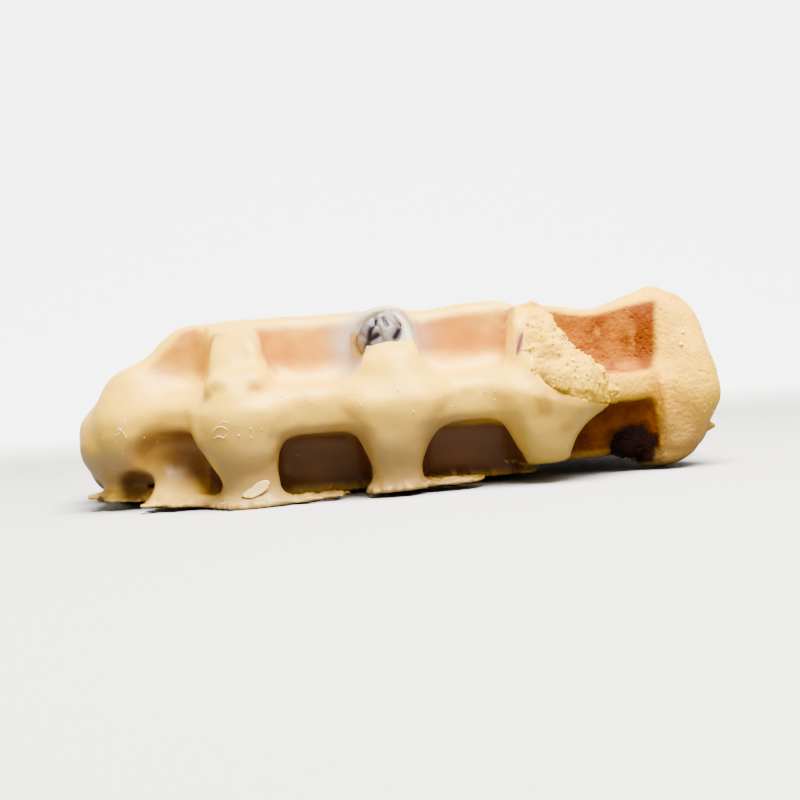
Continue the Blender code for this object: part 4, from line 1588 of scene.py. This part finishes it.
    def build(self, finish: bpy.types.Material) -> bpy.types.Object:
        """Meshes the coat, moves its points out by the unevenness and dresses it.

        Args:
            finish: the icing's material.

        Returns:
            The piece.
        """
        axes = (
            graded_axis(((-55.5, 37.0, Grade.MIDDLING),)),
            graded_axis(((-46.0, -23.0, Grade.FINE), (-23.0, 46.0, Grade.COARSE))),
            graded_axis(((-1.0, 32.0, Grade.MIDDLING),)),
        )
        points, faces, normals = Sculptor(self.form, axes).surface()
        masks = self.masks(points, normals)
        above_floor = smooth_step(0.2, 2.5, points[:, 2] - self.form.floor(points))
        bare = smooth_step(0.3, -1.5, self.form.edge.beyond(points))
        lump = LUMP_HEIGHT * LUMPS.at(points)
        ripple = self.ripple_height * self.ripples.at(points)
        points = points + normals * ((lump + ripple * bare) * above_floor)[:, None]
        coat = add_mesh("set_icing_coat", points, faces, masks)
        coat.data.materials.append(finish)
        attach(coat, "root")
        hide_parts("icing_coat")
        log.info("icing coat: %d faces", len(faces))
        return coat


@dataclass
class BareEnd:
    """The bare browned end of the waffle, as one closed piece.

    Attributes:
        tear_height: height of the torn crumb.
        crust_height: height of the crust's small unevenness.
        ochre_crumb_spots: darker ochre spots of the torn crumb, as rows of ((X, Z), half sizes, strength).
    """

    form: BareEndForm
    tear_height: float = 0.75
    tear: Unevenness = Unevenness(8, 2.6, 3)
    crust_height: float = 0.10
    crust: Unevenness = Unevenness(9, 2.2, 2)
    juice_noise: Unevenness = Unevenness(31, 2.5, 2)
    flank_noise: Unevenness = Unevenness(33, 3.0, 2)
    corner_noise: Unevenness = Unevenness(35, 2.0, 2)
    ochre_spot_noise: Unevenness = Unevenness(37, 1.4, 3)
    juice_centre: tuple = (39.6, -27.6, 4.3)
    juice_half_sizes: tuple = (4.9, 3.8, 3.7)
    ochre_crumb_spots: tuple = (
        ((25.0, 20.3), (2.0, 1.3), 0.75),
        ((25.6, 14.8), (2.2, 1.8), 0.8),
        ((24.2, 17.5), (1.1, 1.7), 0.55),
        ((30.5, 13.8), (2.0, 1.0), 0.4),
    )

    def masks(self, points: Array) -> dict[str, Array]:
        """Where the iron browned the dough, where it is torn, where the berry's juice ran, and where shade
        is painted: in the bump's corner, low down, and partly on the walls below the web.

        Args:
            points: places on the surface.

        Returns:
            The masks by name.
        """
        dough = self.form.dough
        x, y, z = points.T
        torn = self.form.torn(points)
        browned = self.browned(points) * (1.0 - torn)
        apart = (points - np.array(self.juice_centre)) / np.array(self.juice_half_sizes)
        ragged = 0.25 * self.juice_noise.at(points)
        # deep: painted shade in the corner between the well's back wall and the bump's flank
        corner = smooth_step(40.4, 41.8, x + 0.5 * self.corner_noise.at(points))
        corner = np.maximum(corner, smooth_step(40.5, 43.5, x + 0.9 * (z - 26.5)))
        deep = corner * smooth_step(-15.0, -20.0, y) * smooth_step(dough.middle, 17.0, z)
        crumb_ragged = 0.5 * self.ochre_spot_noise.at(points)
        return {
            "browned": browned,
            "deep": 0.85 * deep,
            # under: painted shade, darker towards the bottom
            "under": 0.85 * smooth_step(15.0, 3.0, z) * (1.0 - browned),
            # lower_wall: the walls below the web, partly deeper browning and partly painted shade
            "lower_wall": smooth_step(dough.middle - 2.0, dough.middle - 3.4, z),
            "torn": torn,
            "ochre": torn * ragged_ovals(points, self.ochre_crumb_spots, crumb_ragged, (1.3, 0.5)),
            "juice": smooth_step(1.25, 0.75, np.linalg.norm(apart, axis=1) + ragged),
        }

    def browned(self, points: Array) -> Array:
        """Where the iron touched: on the walls of the wells, but not on the crests, the rim or the bump."""
        dough = self.form.dough
        x, y, z = points.T
        depth = dough.outline.depth_inside(points)
        upper = smooth_step(0.6, 1.5, dough.crest_height(points) - z)
        upper = upper * smooth_step(dough.middle, dough.middle + 1.0, z)
        lower = smooth_step(1.0, 2.2, z - (dough.middle - dough.below))
        lower = lower * smooth_step(dough.middle, dough.middle - 1.0, z)
        flank = smooth_step(45.6, 44.2, x + 0.4 * self.flank_noise.at(points))
        off_bump = np.maximum(flank, smooth_step(-8.0, -2.0, y))
        off_rim = np.maximum(smooth_step(2.6, 4.8, depth), smooth_step(1.7, 2.6, np.abs(z - dough.middle)))
        return smooth_step(1.4, 3.2, depth) * np.maximum(upper, lower) * off_bump * off_rim

    def build(self, finish: bpy.types.Material) -> bpy.types.Object:
        """Meshes the bare end, tears the crumb and dresses it.

        Args:
            finish: the dough's material.

        Returns:
            The piece.
        """
        axes = (
            graded_axis(((13.0, 58.0, Grade.FINE),)),
            graded_axis(((-46.0, -14.0, Grade.FINE), (-14.0, 46.0, Grade.COARSE))),
            graded_axis(((-1.0, 32.0, Grade.FINE),)),
        )
        points, faces, normals = Sculptor(self.form, axes).surface()
        masks = self.masks(points)
        lump = LUMP_HEIGHT * LUMPS.at(points)
        tear = self.tear_height * np.abs(self.tear.at(points)) * masks["torn"]
        crust = self.crust_height * self.crust.at(points)
        above_floor = smooth_step(0.2, 1.5, points[:, 2])
        points = points + normals * ((lump + tear + crust) * above_floor)[:, None]
        end = add_mesh("bare_browned_end", points, faces, masks)
        end.data.materials.append(finish)
        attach(end, "root")
        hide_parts("waffle_dough")
        log.info("bare end: %d faces", len(faces))
        return end


def turned(count: int, draw: np.random.Generator) -> Array:
    """Random rotations: one 3 x 3 matrix for each, from random unit quaternions."""
    quaternions = draw.normal(size=(4, count))
    w, x, y, z = quaternions / np.linalg.norm(quaternions, axis=0)
    rows = (
        (1 - 2 * (y * y + z * z), 2 * (x * y - w * z), 2 * (x * z + w * y)),
        (2 * (x * y + w * z), 1 - 2 * (x * x + z * z), 2 * (y * z - w * x)),
        (2 * (x * z - w * y), 2 * (y * z + w * x), 1 - 2 * (x * x + y * y)),
    )
    return np.moveaxis(np.array(rows), -1, 0)


def mesh_places(piece: bpy.types.Object) -> tuple[Array, Array]:
    """A piece's points, back in the forms' own millimetres, and their normals."""
    mesh = piece.data
    flat = np.empty(3 * len(mesh.vertices), np.float32)
    mesh.vertices.foreach_get("co", flat)
    points = flat.reshape(-1, 3).astype(float) / MM - FOOTPRINT_SHIFT
    mesh.vertices.foreach_get("normal", flat)
    return points, flat.reshape(-1, 3).astype(float)


def mesh_mask(piece: bpy.types.Object, name: str) -> Array:
    """A piece's mask, one value for each point."""
    values = np.empty(len(piece.data.vertices), np.float32)
    piece.data.attributes[name].data.foreach_get("value", values)
    return values


class Grain:
    """A small solid that is repeated over a surface: its corners, at radius 1, and its faces."""

    def __init__(self, corners: Array, faces: tuple) -> None:
        """Takes its form.

        Args:
            corners: places of its corners.
            faces: rows of three corner numbers, facing outwards.
        """
        self.corners = np.asarray(corners, float)
        self.faces = np.array(faces)

    @classmethod
    def lump(cls) -> "Grain":
        """A twenty-faced lump: the corners of three golden rectangles."""
        golden = (1.0 + math.sqrt(5.0)) / 2.0
        corners = [
            (-1, golden, 0), (1, golden, 0), (-1, -golden, 0), (1, -golden, 0),
            (0, -1, golden), (0, 1, golden), (0, -1, -golden), (0, 1, -golden),
            (golden, 0, -1), (golden, 0, 1), (-golden, 0, -1), (-golden, 0, 1),
        ]
        faces = (
            (0, 11, 5), (0, 5, 1), (0, 1, 7), (0, 7, 10), (0, 10, 11), (1, 5, 9), (5, 11, 4),
            (11, 10, 2), (10, 7, 6), (7, 1, 8), (3, 9, 4), (3, 4, 2), (3, 2, 6), (3, 6, 8),
            (3, 8, 9), (4, 9, 5), (2, 4, 11), (6, 2, 10), (8, 6, 7), (9, 8, 1),
        )
        return cls(np.array(corners) / math.hypot(1.0, golden), faces)

    @classmethod
    def crystal(cls) -> "Grain":
        """A blunt twelve-faced crystal: a box's corners, pulled a little apart."""
        corners = [(x, y, z) for x in (-0.6, 0.6) for y in (-0.5, 0.5) for z in (-0.55, 0.55)]
        faces = (
            (0, 1, 3), (0, 3, 2), (4, 6, 7), (4, 7, 5), (0, 4, 5), (0, 5, 1),
            (2, 3, 7), (2, 7, 6), (0, 2, 6), (0, 6, 4), (1, 5, 7), (1, 7, 3),
        )
        return cls(corners, faces)

    def scatter(
        self, places: Array, sizes: Array, jitter: float, squash: float, seed: int
    ) -> tuple[Array, Array]:
        """The grain at many places, each turned, stretched and dented at random.

        Args:
            places: where each stands.
            sizes: its radius.
            jitter: how far its corners stray, as a share of the radius.
            squash: how much its proportions vary.
            seed: which draw.

        Returns:
            All points and all faces.
        """
        draw = np.random.default_rng(seed)
        count = len(places)
        dents = draw.uniform(-1.0, 1.0, (count, len(self.corners), 1))
        shape = self.corners[None] * (1.0 + jitter * dents)
        shape = shape * (1.0 + squash * draw.uniform(-1.0, 1.0, (count, 1, 3)))
        shape = np.einsum("nij,nkj->nki", turned(count, draw), shape)
        points = places[:, None] + shape * sizes[:, None, None]
        faces = self.faces[None] + (np.arange(count) * len(self.corners))[:, None, None]
        return points.reshape(-1, 3), faces.reshape(-1, 3)


def dress(piece: bpy.types.Object, finish: bpy.types.Material) -> bpy.types.Object:
    """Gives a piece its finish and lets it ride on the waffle."""
    piece.data.materials.append(finish)
    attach(piece, "root")
    log.info("%s: %d faces", piece.name, len(piece.data.polygons))
    return piece


def pick_round(draw: np.random.Generator, points: Array, near: Array, clusters: tuple) -> Array:
    """Random points of the near side, most of them round each cluster's middle.

    Args:
        draw: the random draw.
        points: all points of the surface.
        near: numbers of those on the near side.
        clusters: rows of ((X, Z), half sizes, how many).

    Returns:
        The numbers of the chosen points.
    """
    chosen = []
    for (x, z), (wide, high), count in clusters:
        away = np.hypot((points[near, 0] - x) / wide, (points[near, 2] - z) / high)
        close = near[away < 1.0]
        chosen.append(draw.choice(close, min(count, len(close)), replace=False))
    return np.concatenate(chosen)


@dataclass(frozen=True)
class TornCrumbs:
    """Loose crumbs that stand on the torn dough."""

    count: int = 420
    smallest: float = 0.10
    largest: float = 0.40
    sunk: float = 0.15

    def build(self, end: bpy.types.Object, finish: bpy.types.Material) -> bpy.types.Object:
        """Lumps at random points of the torn patch, small ones far more often than large ones."""
        draw = np.random.default_rng(51)
        points, normals = mesh_places(end)
        on_front = (points[:, 1] < -29.0) & (points[:, 2] > 8.0)
        torn = np.flatnonzero((mesh_mask(end, "torn") > 0.35) & on_front)
        chosen = draw.choice(torn, min(self.count, len(torn)), replace=False)
        sizes = self.smallest + (self.largest - self.smallest) * draw.random(len(chosen)) ** 2.2
        places = points[chosen] - normals[chosen] * (self.sunk * sizes)[:, None]
        spots, faces = Grain.lump().scatter(places, sizes, 0.22, 0.3, 52)
        made = add_mesh("torn_crumbs", spots, faces, {"torn": np.ones(len(spots))})
        return dress(made, finish)


@dataclass(frozen=True)
class SugarCrystals:
    """Grains of pearl sugar in the crumb and on the right end's crust."""

    clusters: tuple = (
        ((27.2, 21.6), (2.4, 2.4), 22),
        ((29.8, 17.6), (2.0, 2.0), 12),
        ((51.6, 9.8), (1.8, 1.8), 3),
        ((48.5, 21.0), (2.2, 2.2), 2),
    )
    smallest: float = 0.16
    size_range: float = 0.30
    raised: float = 0.3

    def build(self, end: bpy.types.Object, finish: bpy.types.Material) -> bpy.types.Object:
        """Crystals at random points of the near side round each cluster's middle."""
        draw = np.random.default_rng(61)
        points, normals = mesh_places(end)
        near = np.flatnonzero((normals[:, 1] < -0.2) & (points[:, 1] < -24.0))
        chosen = pick_round(draw, points, near, self.clusters)
        sizes = self.smallest + self.size_range * draw.random(len(chosen)) ** 1.6
        places = points[chosen] + normals[chosen] * (self.raised * sizes)[:, None]
        spots, faces = Grain.crystal().scatter(places, sizes, 0.2, 0.25, 62)
        made = add_mesh("sugar_crystals", spots, faces, {})
        made.data.polygons.foreach_set("use_smooth", np.zeros(len(faces), bool))
        return dress(made, finish)


@dataclass(frozen=True)
class IcingBeads:
    """Tiny set beads and bubbles on the icing, which catch the light; they are whiter than the icing as a
    painted glint.
    """

    clusters: tuple = (
        ((-15.2, 16.4), (3.2, 1.5), 22),
        ((-4.6, 16.6), (2.2, 2.2), 13),
        ((-22.5, 12.8), (2.2, 2.6), 9),
        ((-26.5, 21.0), (2.2, 1.4), 5),
        ((4.5, 15.5), (4.5, 3.0), 7),
        ((13.0, 14.8), (5.0, 2.2), 8),
        ((-25.0, 2.0), (6.0, 1.6), 10),
        ((-0.5, 2.4), (4.0, 1.4), 6),
        ((-43.0, 12.0), (5.0, 4.0), 5),
        ((28.0, 8.0), (4.0, 3.0), 3),
    )
    smallest: float = 0.06
    size_range: float = 0.12
    raised: float = 0.2

    def build(self, coat: bpy.types.Object, finish: bpy.types.Material) -> bpy.types.Object:
        """Small lumps at random points of the near side round each cluster's middle."""
        draw = np.random.default_rng(71)
        points, normals = mesh_places(coat)
        near = np.flatnonzero((normals[:, 1] < -0.25) & (points[:, 1] < -26.0))
        chosen = pick_round(draw, points, near, self.clusters)
        sizes = self.smallest + self.size_range * draw.random(len(chosen)) ** 2
        places = points[chosen] + normals[chosen] * (self.raised * sizes)[:, None]
        spots, faces = Grain.lump().scatter(places, sizes, 0.05, 0.2, 72)
        return dress(add_mesh("icing_beads", spots, faces, {}), finish)


def near_surface(form: object, places: Array, lift: float) -> Array:
    """Points of a form's near side over places in the X and Z plane, found by stepping along Y.

    Args:
        form: what has a distance method.
        places: rows of (X, Z).
        lift: how far in front of the surface the points stand.

    Returns:
        The points, one row each.
    """
    start_y, steps, share_of_step, longest_step = -50.0, 60, 0.6, 3.0
    points = np.column_stack((places[:, 0], np.full(len(places), start_y), places[:, 1]))
    for _ in range(steps):
        points[:, 1] += share_of_step * np.clip(form.distance(points), -1.0, longest_step)
    points[:, 1] -= lift
    return points


def ring_faces(rings: int, around: int) -> tuple[Array, Array]:
    """Faces of a stack of rings of points, closed by one more point at each end.

    Args:
        rings: how many rings there are.
        around: points of each ring.

    Returns:
        The quads between the rings, and the triangles of the fans at the start and at the end.
    """
    rows = np.arange(rings * around).reshape(rings, around)
    right = np.roll(rows, -1, axis=1)
    quads = np.stack((rows[:-1], rows[1:], right[1:], right[:-1]), axis=-1).reshape(-1, 4)
    start = np.column_stack((np.full(around, rings * around), rows[0], right[0]))
    end = np.column_stack((np.full(around, rings * around + 1), right[-1], rows[-1]))
    return quads, np.vstack((start, end))


def halved(quads: Array) -> Array:
    """Two triangles for each quad."""
    return np.vstack((quads[:, (0, 1, 2)], quads[:, (0, 2, 3)]))


def ball_points(around: int, up: int) -> Array:
    """Points of a unit ball: rings from the top down by longitude and latitude, then both poles.

    Args:
        around: steps of longitude.
        up: steps of latitude.

    Returns:
        The points, one row each.
    """
    turn = np.linspace(0.0, 2.0 * np.pi, around, endpoint=False)
    tilt = np.linspace(0.0, np.pi, up + 1)[1:-1]
    turns, tilts = np.meshgrid(turn, tilt)
    ball = np.stack((np.cos(turns) * np.sin(tilts), np.sin(turns) * np.sin(tilts), np.cos(tilts)), axis=-1)
    return np.vstack((ball.reshape(-1, 3), ((0.0, 0.0, 1.0), (0.0, 0.0, -1.0))))


def swept_tube(path: Array, radii: Array, sides: int = 8) -> tuple[Array, Array]:
    """A closed tube along a path: rings of points square to it, with a fan at each end.

    Args:
        path: its middle line.
        radii: its radius at each point of the line.
        sides: points of each ring.

    Returns:
        The points, and the triangles.
    """
    ahead = np.gradient(path, axis=0)
    ahead /= np.linalg.norm(ahead, axis=1, keepdims=True)
    side = np.cross(ahead, (0.0, 1.0, 0.0))
    side /= np.linalg.norm(side, axis=1, keepdims=True)
    other = np.cross(side, ahead)
    turn = np.linspace(0.0, 2.0 * np.pi, sides, endpoint=False)
    ring = np.cos(turn)[None, :, None] * side[:, None] + np.sin(turn)[None, :, None] * other[:, None]
    points = (path[:, None] + ring * radii[:, None, None]).reshape(-1, 3)
    quads, caps = ring_faces(len(path), sides)
    return np.vstack((points, path[0], path[-1])), np.vstack((halved(quads), caps))


@dataclass(frozen=True)
class CurlMarks:
    """Small raised curls where drops of icing dragged: each a thin tube along a bent line.

    Attributes:
        curls: rows of (places of its line as (X, Z), radius).
        lift: how far the line stands in front of the icing.
        slimmer: share of the radius that is built.
    """

    form: IcingForm
    lift: float = 0.16
    slimmer: float = 0.75
    steps: int = 16
    curls: tuple = (
        (((-43.9, 12.9), (-43.3, 13.8), (-42.8, 14.6), (-42.9, 15.3)), 0.085),
        (((-44.3, 13.9), (-43.6, 13.6), (-43.0, 12.8), (-42.7, 12.1)), 0.075),
        (((-44.8, 12.6), (-44.3, 12.9), (-43.9, 12.9)), 0.06),
        (((-28.2, 12.2), (-27.4, 13.0), (-26.4, 13.1), (-25.6, 12.5)), 0.11),
        (((-28.0, 11.4), (-27.2, 11.7), (-26.3, 11.4), (-25.9, 12.0)), 0.10),
        (((-26.9, 13.3), (-26.2, 13.9), (-25.4, 13.6)), 0.09),
    )

    def build(self, finish: bpy.types.Material) -> bpy.types.Object:
        """Sweeps each curl over the coat's near side."""
        all_points, all_faces, count = [], [], 0
        for spots, radius in self.curls:
            knots = tuple((k, *spot) for k, spot in enumerate(spots))
            along = np.linspace(0.0, len(spots) - 1.0, self.steps)
            line = np.column_stack((eased_curve(along, knots, 1), eased_curve(along, knots, 2)))
            path = near_surface(self.form, line, self.lift)
            swell = np.sin(np.pi * np.linspace(0.04, 0.96, self.steps))
            radii = self.slimmer * radius * np.sqrt(np.clip(swell, 0.05, 1.0))
            points, faces = swept_tube(path, radii)
            all_points.append(points)
            all_faces.append(faces + count)
            count += len(points)
        made = add_mesh("curl_marks", np.vstack(all_points), np.vstack(all_faces), {})
        return dress(made, finish)


@dataclass(frozen=True)
class IcingFlake:
    """A loose flake of set icing on the first foot: a thin bent leaf with a ragged edge."""

    form: IcingForm
    middle: tuple = (-21.9, 3.0)
    half_length: float = 2.2
    half_height: float = 0.9
    thickness: float = 0.3
    tilt: float = 24.0
    raggedness: float = 0.38
    noise: Unevenness = Unevenness(81, 0.8, 2)
    around: int = 28
    rings: int = 6

    def build(self, finish: bpy.types.Material) -> bpy.types.Object:
        """Two fans of rings, front and back, round an outline whose radius strays by noise."""
        turn = np.linspace(0.0, 2.0 * np.pi, self.around, endpoint=False)
        circle = np.column_stack((np.cos(turn), np.sin(turn), np.zeros(self.around)))
        ragged = 1.0 + self.raggedness * self.noise.at(circle)
        share = np.linspace(1.0 / self.rings, 1.0, self.rings)
        across = share[:, None] * (np.cos(turn) * ragged)[None] * self.half_length
        rise = share[:, None] * (np.sin(turn) * ragged)[None] * self.half_height
        angle = math.radians(self.tilt)
        x = self.middle[0] + (across * math.cos(angle) - rise * math.sin(angle)).ravel()
        z = self.middle[1] + (across * math.sin(angle) + rise * math.cos(angle)).ravel()
        flat = np.vstack((np.column_stack((x, z)), self.middle))
        front = near_surface(self.form, flat, 0.5)
        front[:, 1] = 0.5 * front[:, 1] + 0.5 * front[:, 1].mean() - 0.1
        back = front + np.array((0.0, self.thickness, 0.0))
        quads, fans = ring_faces(self.rings, self.around)
        face = np.vstack((halved(quads), fans[: self.around]))
        behind = len(front)
        outer = np.arange(self.around) + (self.rings - 1) * self.around
        right = np.roll(outer, -1)
        rim = halved(np.column_stack((outer, outer + behind, right + behind, right)))
        faces = np.vstack((face, face[:, ::-1] + behind, rim))
        made = add_mesh("icing_flake", np.vstack((front, back)), faces, {})
        return dress(made, finish)


@dataclass(frozen=True)
class SkinSliver:
    """A sliver of berry skin in a tear of the third post's icing: a slim lens set in the surface."""

    form: IcingForm
    middle: tuple = (20.85, 22.6)
    half_sizes: tuple = (0.42, 0.35, 2.0)
    lean: float = 19.0
    lift: float = 0.12
    around: int = 24
    up: int = 20

    def build(self, finish: bpy.types.Material) -> bpy.types.Object:
        """An ellipsoid of longitude and latitude steps, leant over and bowed with the surface."""
        ball = ball_points(self.around, self.up)
        size = ball * np.array(self.half_sizes)
        lean = math.radians(self.lean)
        x = self.middle[0] + size[:, 0] * math.cos(lean) + size[:, 2] * math.sin(lean)
        z = self.middle[1] - size[:, 0] * math.sin(lean) + size[:, 2] * math.cos(lean)
        points = near_surface(self.form, np.column_stack((x, z)), self.lift)
        points[:, 1] += size[:, 1]
        quads, caps = ring_faces(self.up - 1, self.around)
        core = smooth_step(0.75, 0.15, np.abs(ball[:, 0])) * smooth_step(0.95, 0.5, np.abs(ball[:, 2]))
        made = add_mesh("skin_sliver", points, np.vstack((halved(quads), caps)), {"core": core})
        return dress(made, finish)


@dataclass
class Berry:
    """A baked blueberry: a ball with deep folds, as a function of longitude and latitude.

    Attributes:
        node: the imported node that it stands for.
        folds: how deep the folds are, as a share of the radius.
        film: how much of its top the icing veils, from 0 to 1.
        seed: which folds.
        creases: deep creases of the near side, as rows of (half width, strength, (X, Z), (X, Z), ...).
        crease_depth: how deep they are, as a share of the radius.
    """

    node: str
    centre: tuple
    half_sizes: tuple
    folds: float
    film: float
    seed: int
    creases: tuple = ()
    crease_depth: float = 0.09
    around: int = 120
    up: int = 72

    def build(self, finish: bpy.types.Material) -> bpy.types.Object:
        """Radius = 1 - folds (ridged noise)^2 - creases, on steps of longitude and latitude.

        Args:
            finish: the berry's material.

        Returns:
            The piece.
        """
        ball = ball_points(self.around, self.up)
        stretched = ball * np.array((1.0, 1.0, 0.5))
        stretched[:, 0] += 0.35 * ball[:, 2]
        noise = Unevenness(self.seed, 1.15, 3).at(stretched + 3.0)
        ridge = 1.0 - np.abs(noise) * 3.2
        whole = ball * np.array(self.half_sizes) + np.array(self.centre)
        crease = drawn_lines(whole, self.creases) * (whole[:, 1] < self.centre[1] + 1.0)
        radius = 1.0 - self.folds * np.clip(ridge, 0.0, 1.0) ** 2 - self.crease_depth * crease
        points = ball * radius[:, None] * np.array(self.half_sizes) + np.array(self.centre)
        quads, caps = ring_faces(self.up - 1, self.around)
        faces = [*quads.tolist(), *caps.tolist()]
        # fold_shade: where the folds are painted darker as shade; the icing film keeps off them
        fold_shade = np.maximum(0.45 * np.clip(ridge, 0.0, 1.0), smooth_step(0.05, 0.95, crease))
        veiled = smooth_step(-0.9, 0.1, ball[:, 2] - 0.15 * ball[:, 0])
        masks = {"ridge": 1.0 - fold_shade, "film": self.film * veiled * (1.0 - fold_shade)}
        berry = add_mesh(f"baked_{self.node}", points, faces, masks)
        berry.data.materials.append(finish)
        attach(berry, "root")
        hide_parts(self.node)
        log.info("%s: %d faces", self.node, len(faces))
        return berry


WARM_WHITE: Colour = (1.0, 0.95, 0.86)


@dataclass(frozen=True)
class SoftLamp:
    """A square soft light.

    Attributes:
        place: where it hangs, in millimetres.
        size: its side in millimetres.
        power: its power in watts.
    """

    name: str
    place: tuple
    size: float
    power: float
    colour: Colour

    def hang(self, target: Vector) -> None:
        """Puts it in the scene, looking at a place in metres."""
        light = bpy.data.lights.new(self.name, "AREA")
        light.energy = self.power
        light.size = self.size * MM
        light.color = self.colour
        lamp = add_object(self.name, light)
        lamp.location = Vector(self.place) * MM
        lamp.rotation_euler = (target - lamp.location).to_track_quat("-Z", "Y").to_euler()


@dataclass(frozen=True)
class Studio:
    """Floor, backdrop, lights and camera.

    Attributes:
        distance: the camera's distance from its target in millimetres.
        azimuth: its direction round the waffle in degrees, 0 being the near side.
        roll: how far the picture is turned.
    """

    distance: float = 300.0
    azimuth: float = -2.0
    elevation: float = 1.2
    roll: float = 4.4
    target: tuple = (1.88, 0.0, 14.2)
    focal_length: float = 74.9
    floor_half_width: float = 1500.0
    floor_near: float = -700.0
    floor_far: float = 500.0
    cove_radius: float = 400.0
    cove_height: float = 1200.0
    surround_strength: float = 0.16
    lamps: tuple = (
        SoftLamp("overhead", (60.0, -160.0, 480.0), 380.0, 21.0, (1.0, 0.94, 0.82)),
        SoftLamp("front", (120.0, -520.0, 330.0), 260.0, 1.1, WARM_WHITE),
    )

    def add_floor(self, finish: bpy.types.Material) -> None:
        """A floor that turns up into a backdrop: straight, a quarter turn and straight, swept along X."""
        turn = np.linspace(0.0, np.pi / 2.0, 24)
        y = [self.floor_near, *(self.floor_far + self.cove_radius * np.sin(turn))]
        z = [0.0, *(self.cove_radius * (1.0 - np.cos(turn)))]
        y.append(self.floor_far + self.cove_radius)
        z.append(self.cove_height)
        section = np.column_stack((y, z))
        sides = np.array((-self.floor_half_width, self.floor_half_width))
        points = np.array([(x, *spot) for x in sides for spot in section])
        count = len(section)
        low = np.arange(count - 1)
        faces = np.column_stack((low, low + count, low + count + 1, low + 1))
        floor = add_object("floor", smooth_mesh("floor", points * MM, faces))
        floor.data.materials.append(finish)

    def light(self) -> None:
        """Hangs the lights and sets an even pale surround."""
        for lamp in self.lamps:
            lamp.hang(Vector(self.target) * MM)
        world = bpy.data.worlds.new("surround")
        bpy.context.scene.world = world
        world.use_nodes = True
        background = world.node_tree.nodes["Background"]
        background.inputs["Color"].default_value = (*WARM_WHITE, 1.0)
        background.inputs["Strength"].default_value = self.surround_strength

    def add_camera(self) -> None:
        """The camera: from just above the middle of the waffle, rolled as the photograph is."""
        turn, rise = math.radians(self.azimuth), math.radians(self.elevation)
        back = Vector((math.sin(turn) * math.cos(rise), -math.cos(turn) * math.cos(rise), math.sin(rise)))
        data = bpy.data.cameras.new("camera")
        data.sensor_width = 36.0
        data.lens = self.focal_length
        data.clip_start = 0.01
        camera = add_object("camera", data)
        camera.location = (Vector(self.target) + back * self.distance) * MM
        camera.rotation_mode = "QUATERNION"
        level = (-back).to_track_quat("-Z", "Y")
        camera.rotation_quaternion = level @ Quaternion((0.0, 0.0, 1.0), math.radians(-self.roll))
        bpy.context.scene.camera = camera


SOFTENED = replace(
    DoughForm(),
    corner=3.4,
    fillet_above=5.2,
    fillet_below=2.4,
    edge=2.8,
    knuckle_fillet=4.5,
    web_half_height=2.2,
)
# the burst berry's second colour is the painted shade in its folds
BURST_BERRY = BerryFinish(
    "burst_berry", (0.012, 0.003, 0.002), (0.005, 0.001, 0.001), roughness=0.6, gleam=0.05
)
# the beads' whiter colours stand for glints: a painted highlight
PAINTED_GLINT_BEAD = CrystalFinish("bead_painted_glint", (1.0, 0.84, 0.52), (0.97, 0.72, 0.34), 0.12)
PALE_FLAKE = IcingFinish(cream=(0.96, 0.70, 0.24), warm=(0.95, 0.62, 0.13), name="pale_flake")
TOP_CREASES = (
    (0.6, 1.0, (-1.6, 28.0), (-2.6, 26.4), (-3.2, 24.0), (-3.5, 21.5)),
    (0.75, 1.0, (-2.9, 24.9), (-1.5, 25.5)),
    (0.6, 1.0, (1.9, 29.2), (2.7, 27.6), (3.5, 26.4)),
    (0.7, 1.0, (1.5, 24.9), (2.3, 26.0)),
    (0.35, 1.0, (-0.3, 28.4), (0.3, 27.0)),
)


def main() -> None:
    """Builds the pieces in order, then the studio round them."""
    logging.basicConfig(level=logging.INFO, format="%(message)s")
    effects = Effects()
    dough = DoughForm()
    icing = IcingForm(SOFTENED, dough)
    dough_finish = DoughFinish().make(effects)
    painted_glint_finish = PAINTED_GLINT_BEAD.make(effects)
    coat = IcingCoat(icing).build(IcingFinish().make(effects))
    end = BareEnd(BareEndForm(dough, icing)).build(dough_finish)
    TornCrumbs().build(end, dough_finish)
    SugarCrystals().build(end, CrystalFinish().make(effects))
    IcingBeads().build(coat, painted_glint_finish)
    # the curls take the beads' whiter finish, a painted highlight
    CurlMarks(icing).build(painted_glint_finish)
    IcingFlake(icing).build(PALE_FLAKE.make(effects))
    SkinSliver(icing).build(SliverFinish().make(effects))
    top = Berry("blueberry_top", icing.berry_centre, icing.berry_half_sizes, 0.05, 0.95, 41, TOP_CREASES)
    top.build(BerryFinish().make(effects))
    under = Berry("blueberry_under", (38.9, -26.2, 4.8), (3.9, 1.5, 2.7), 0.16, 0.0, 43)
    under.build(BURST_BERRY.make(effects))
    studio = Studio()
    studio.add_floor(StudioFinish().make())
    studio.light()
    studio.add_camera()


if __name__ == "__main__":
    main()
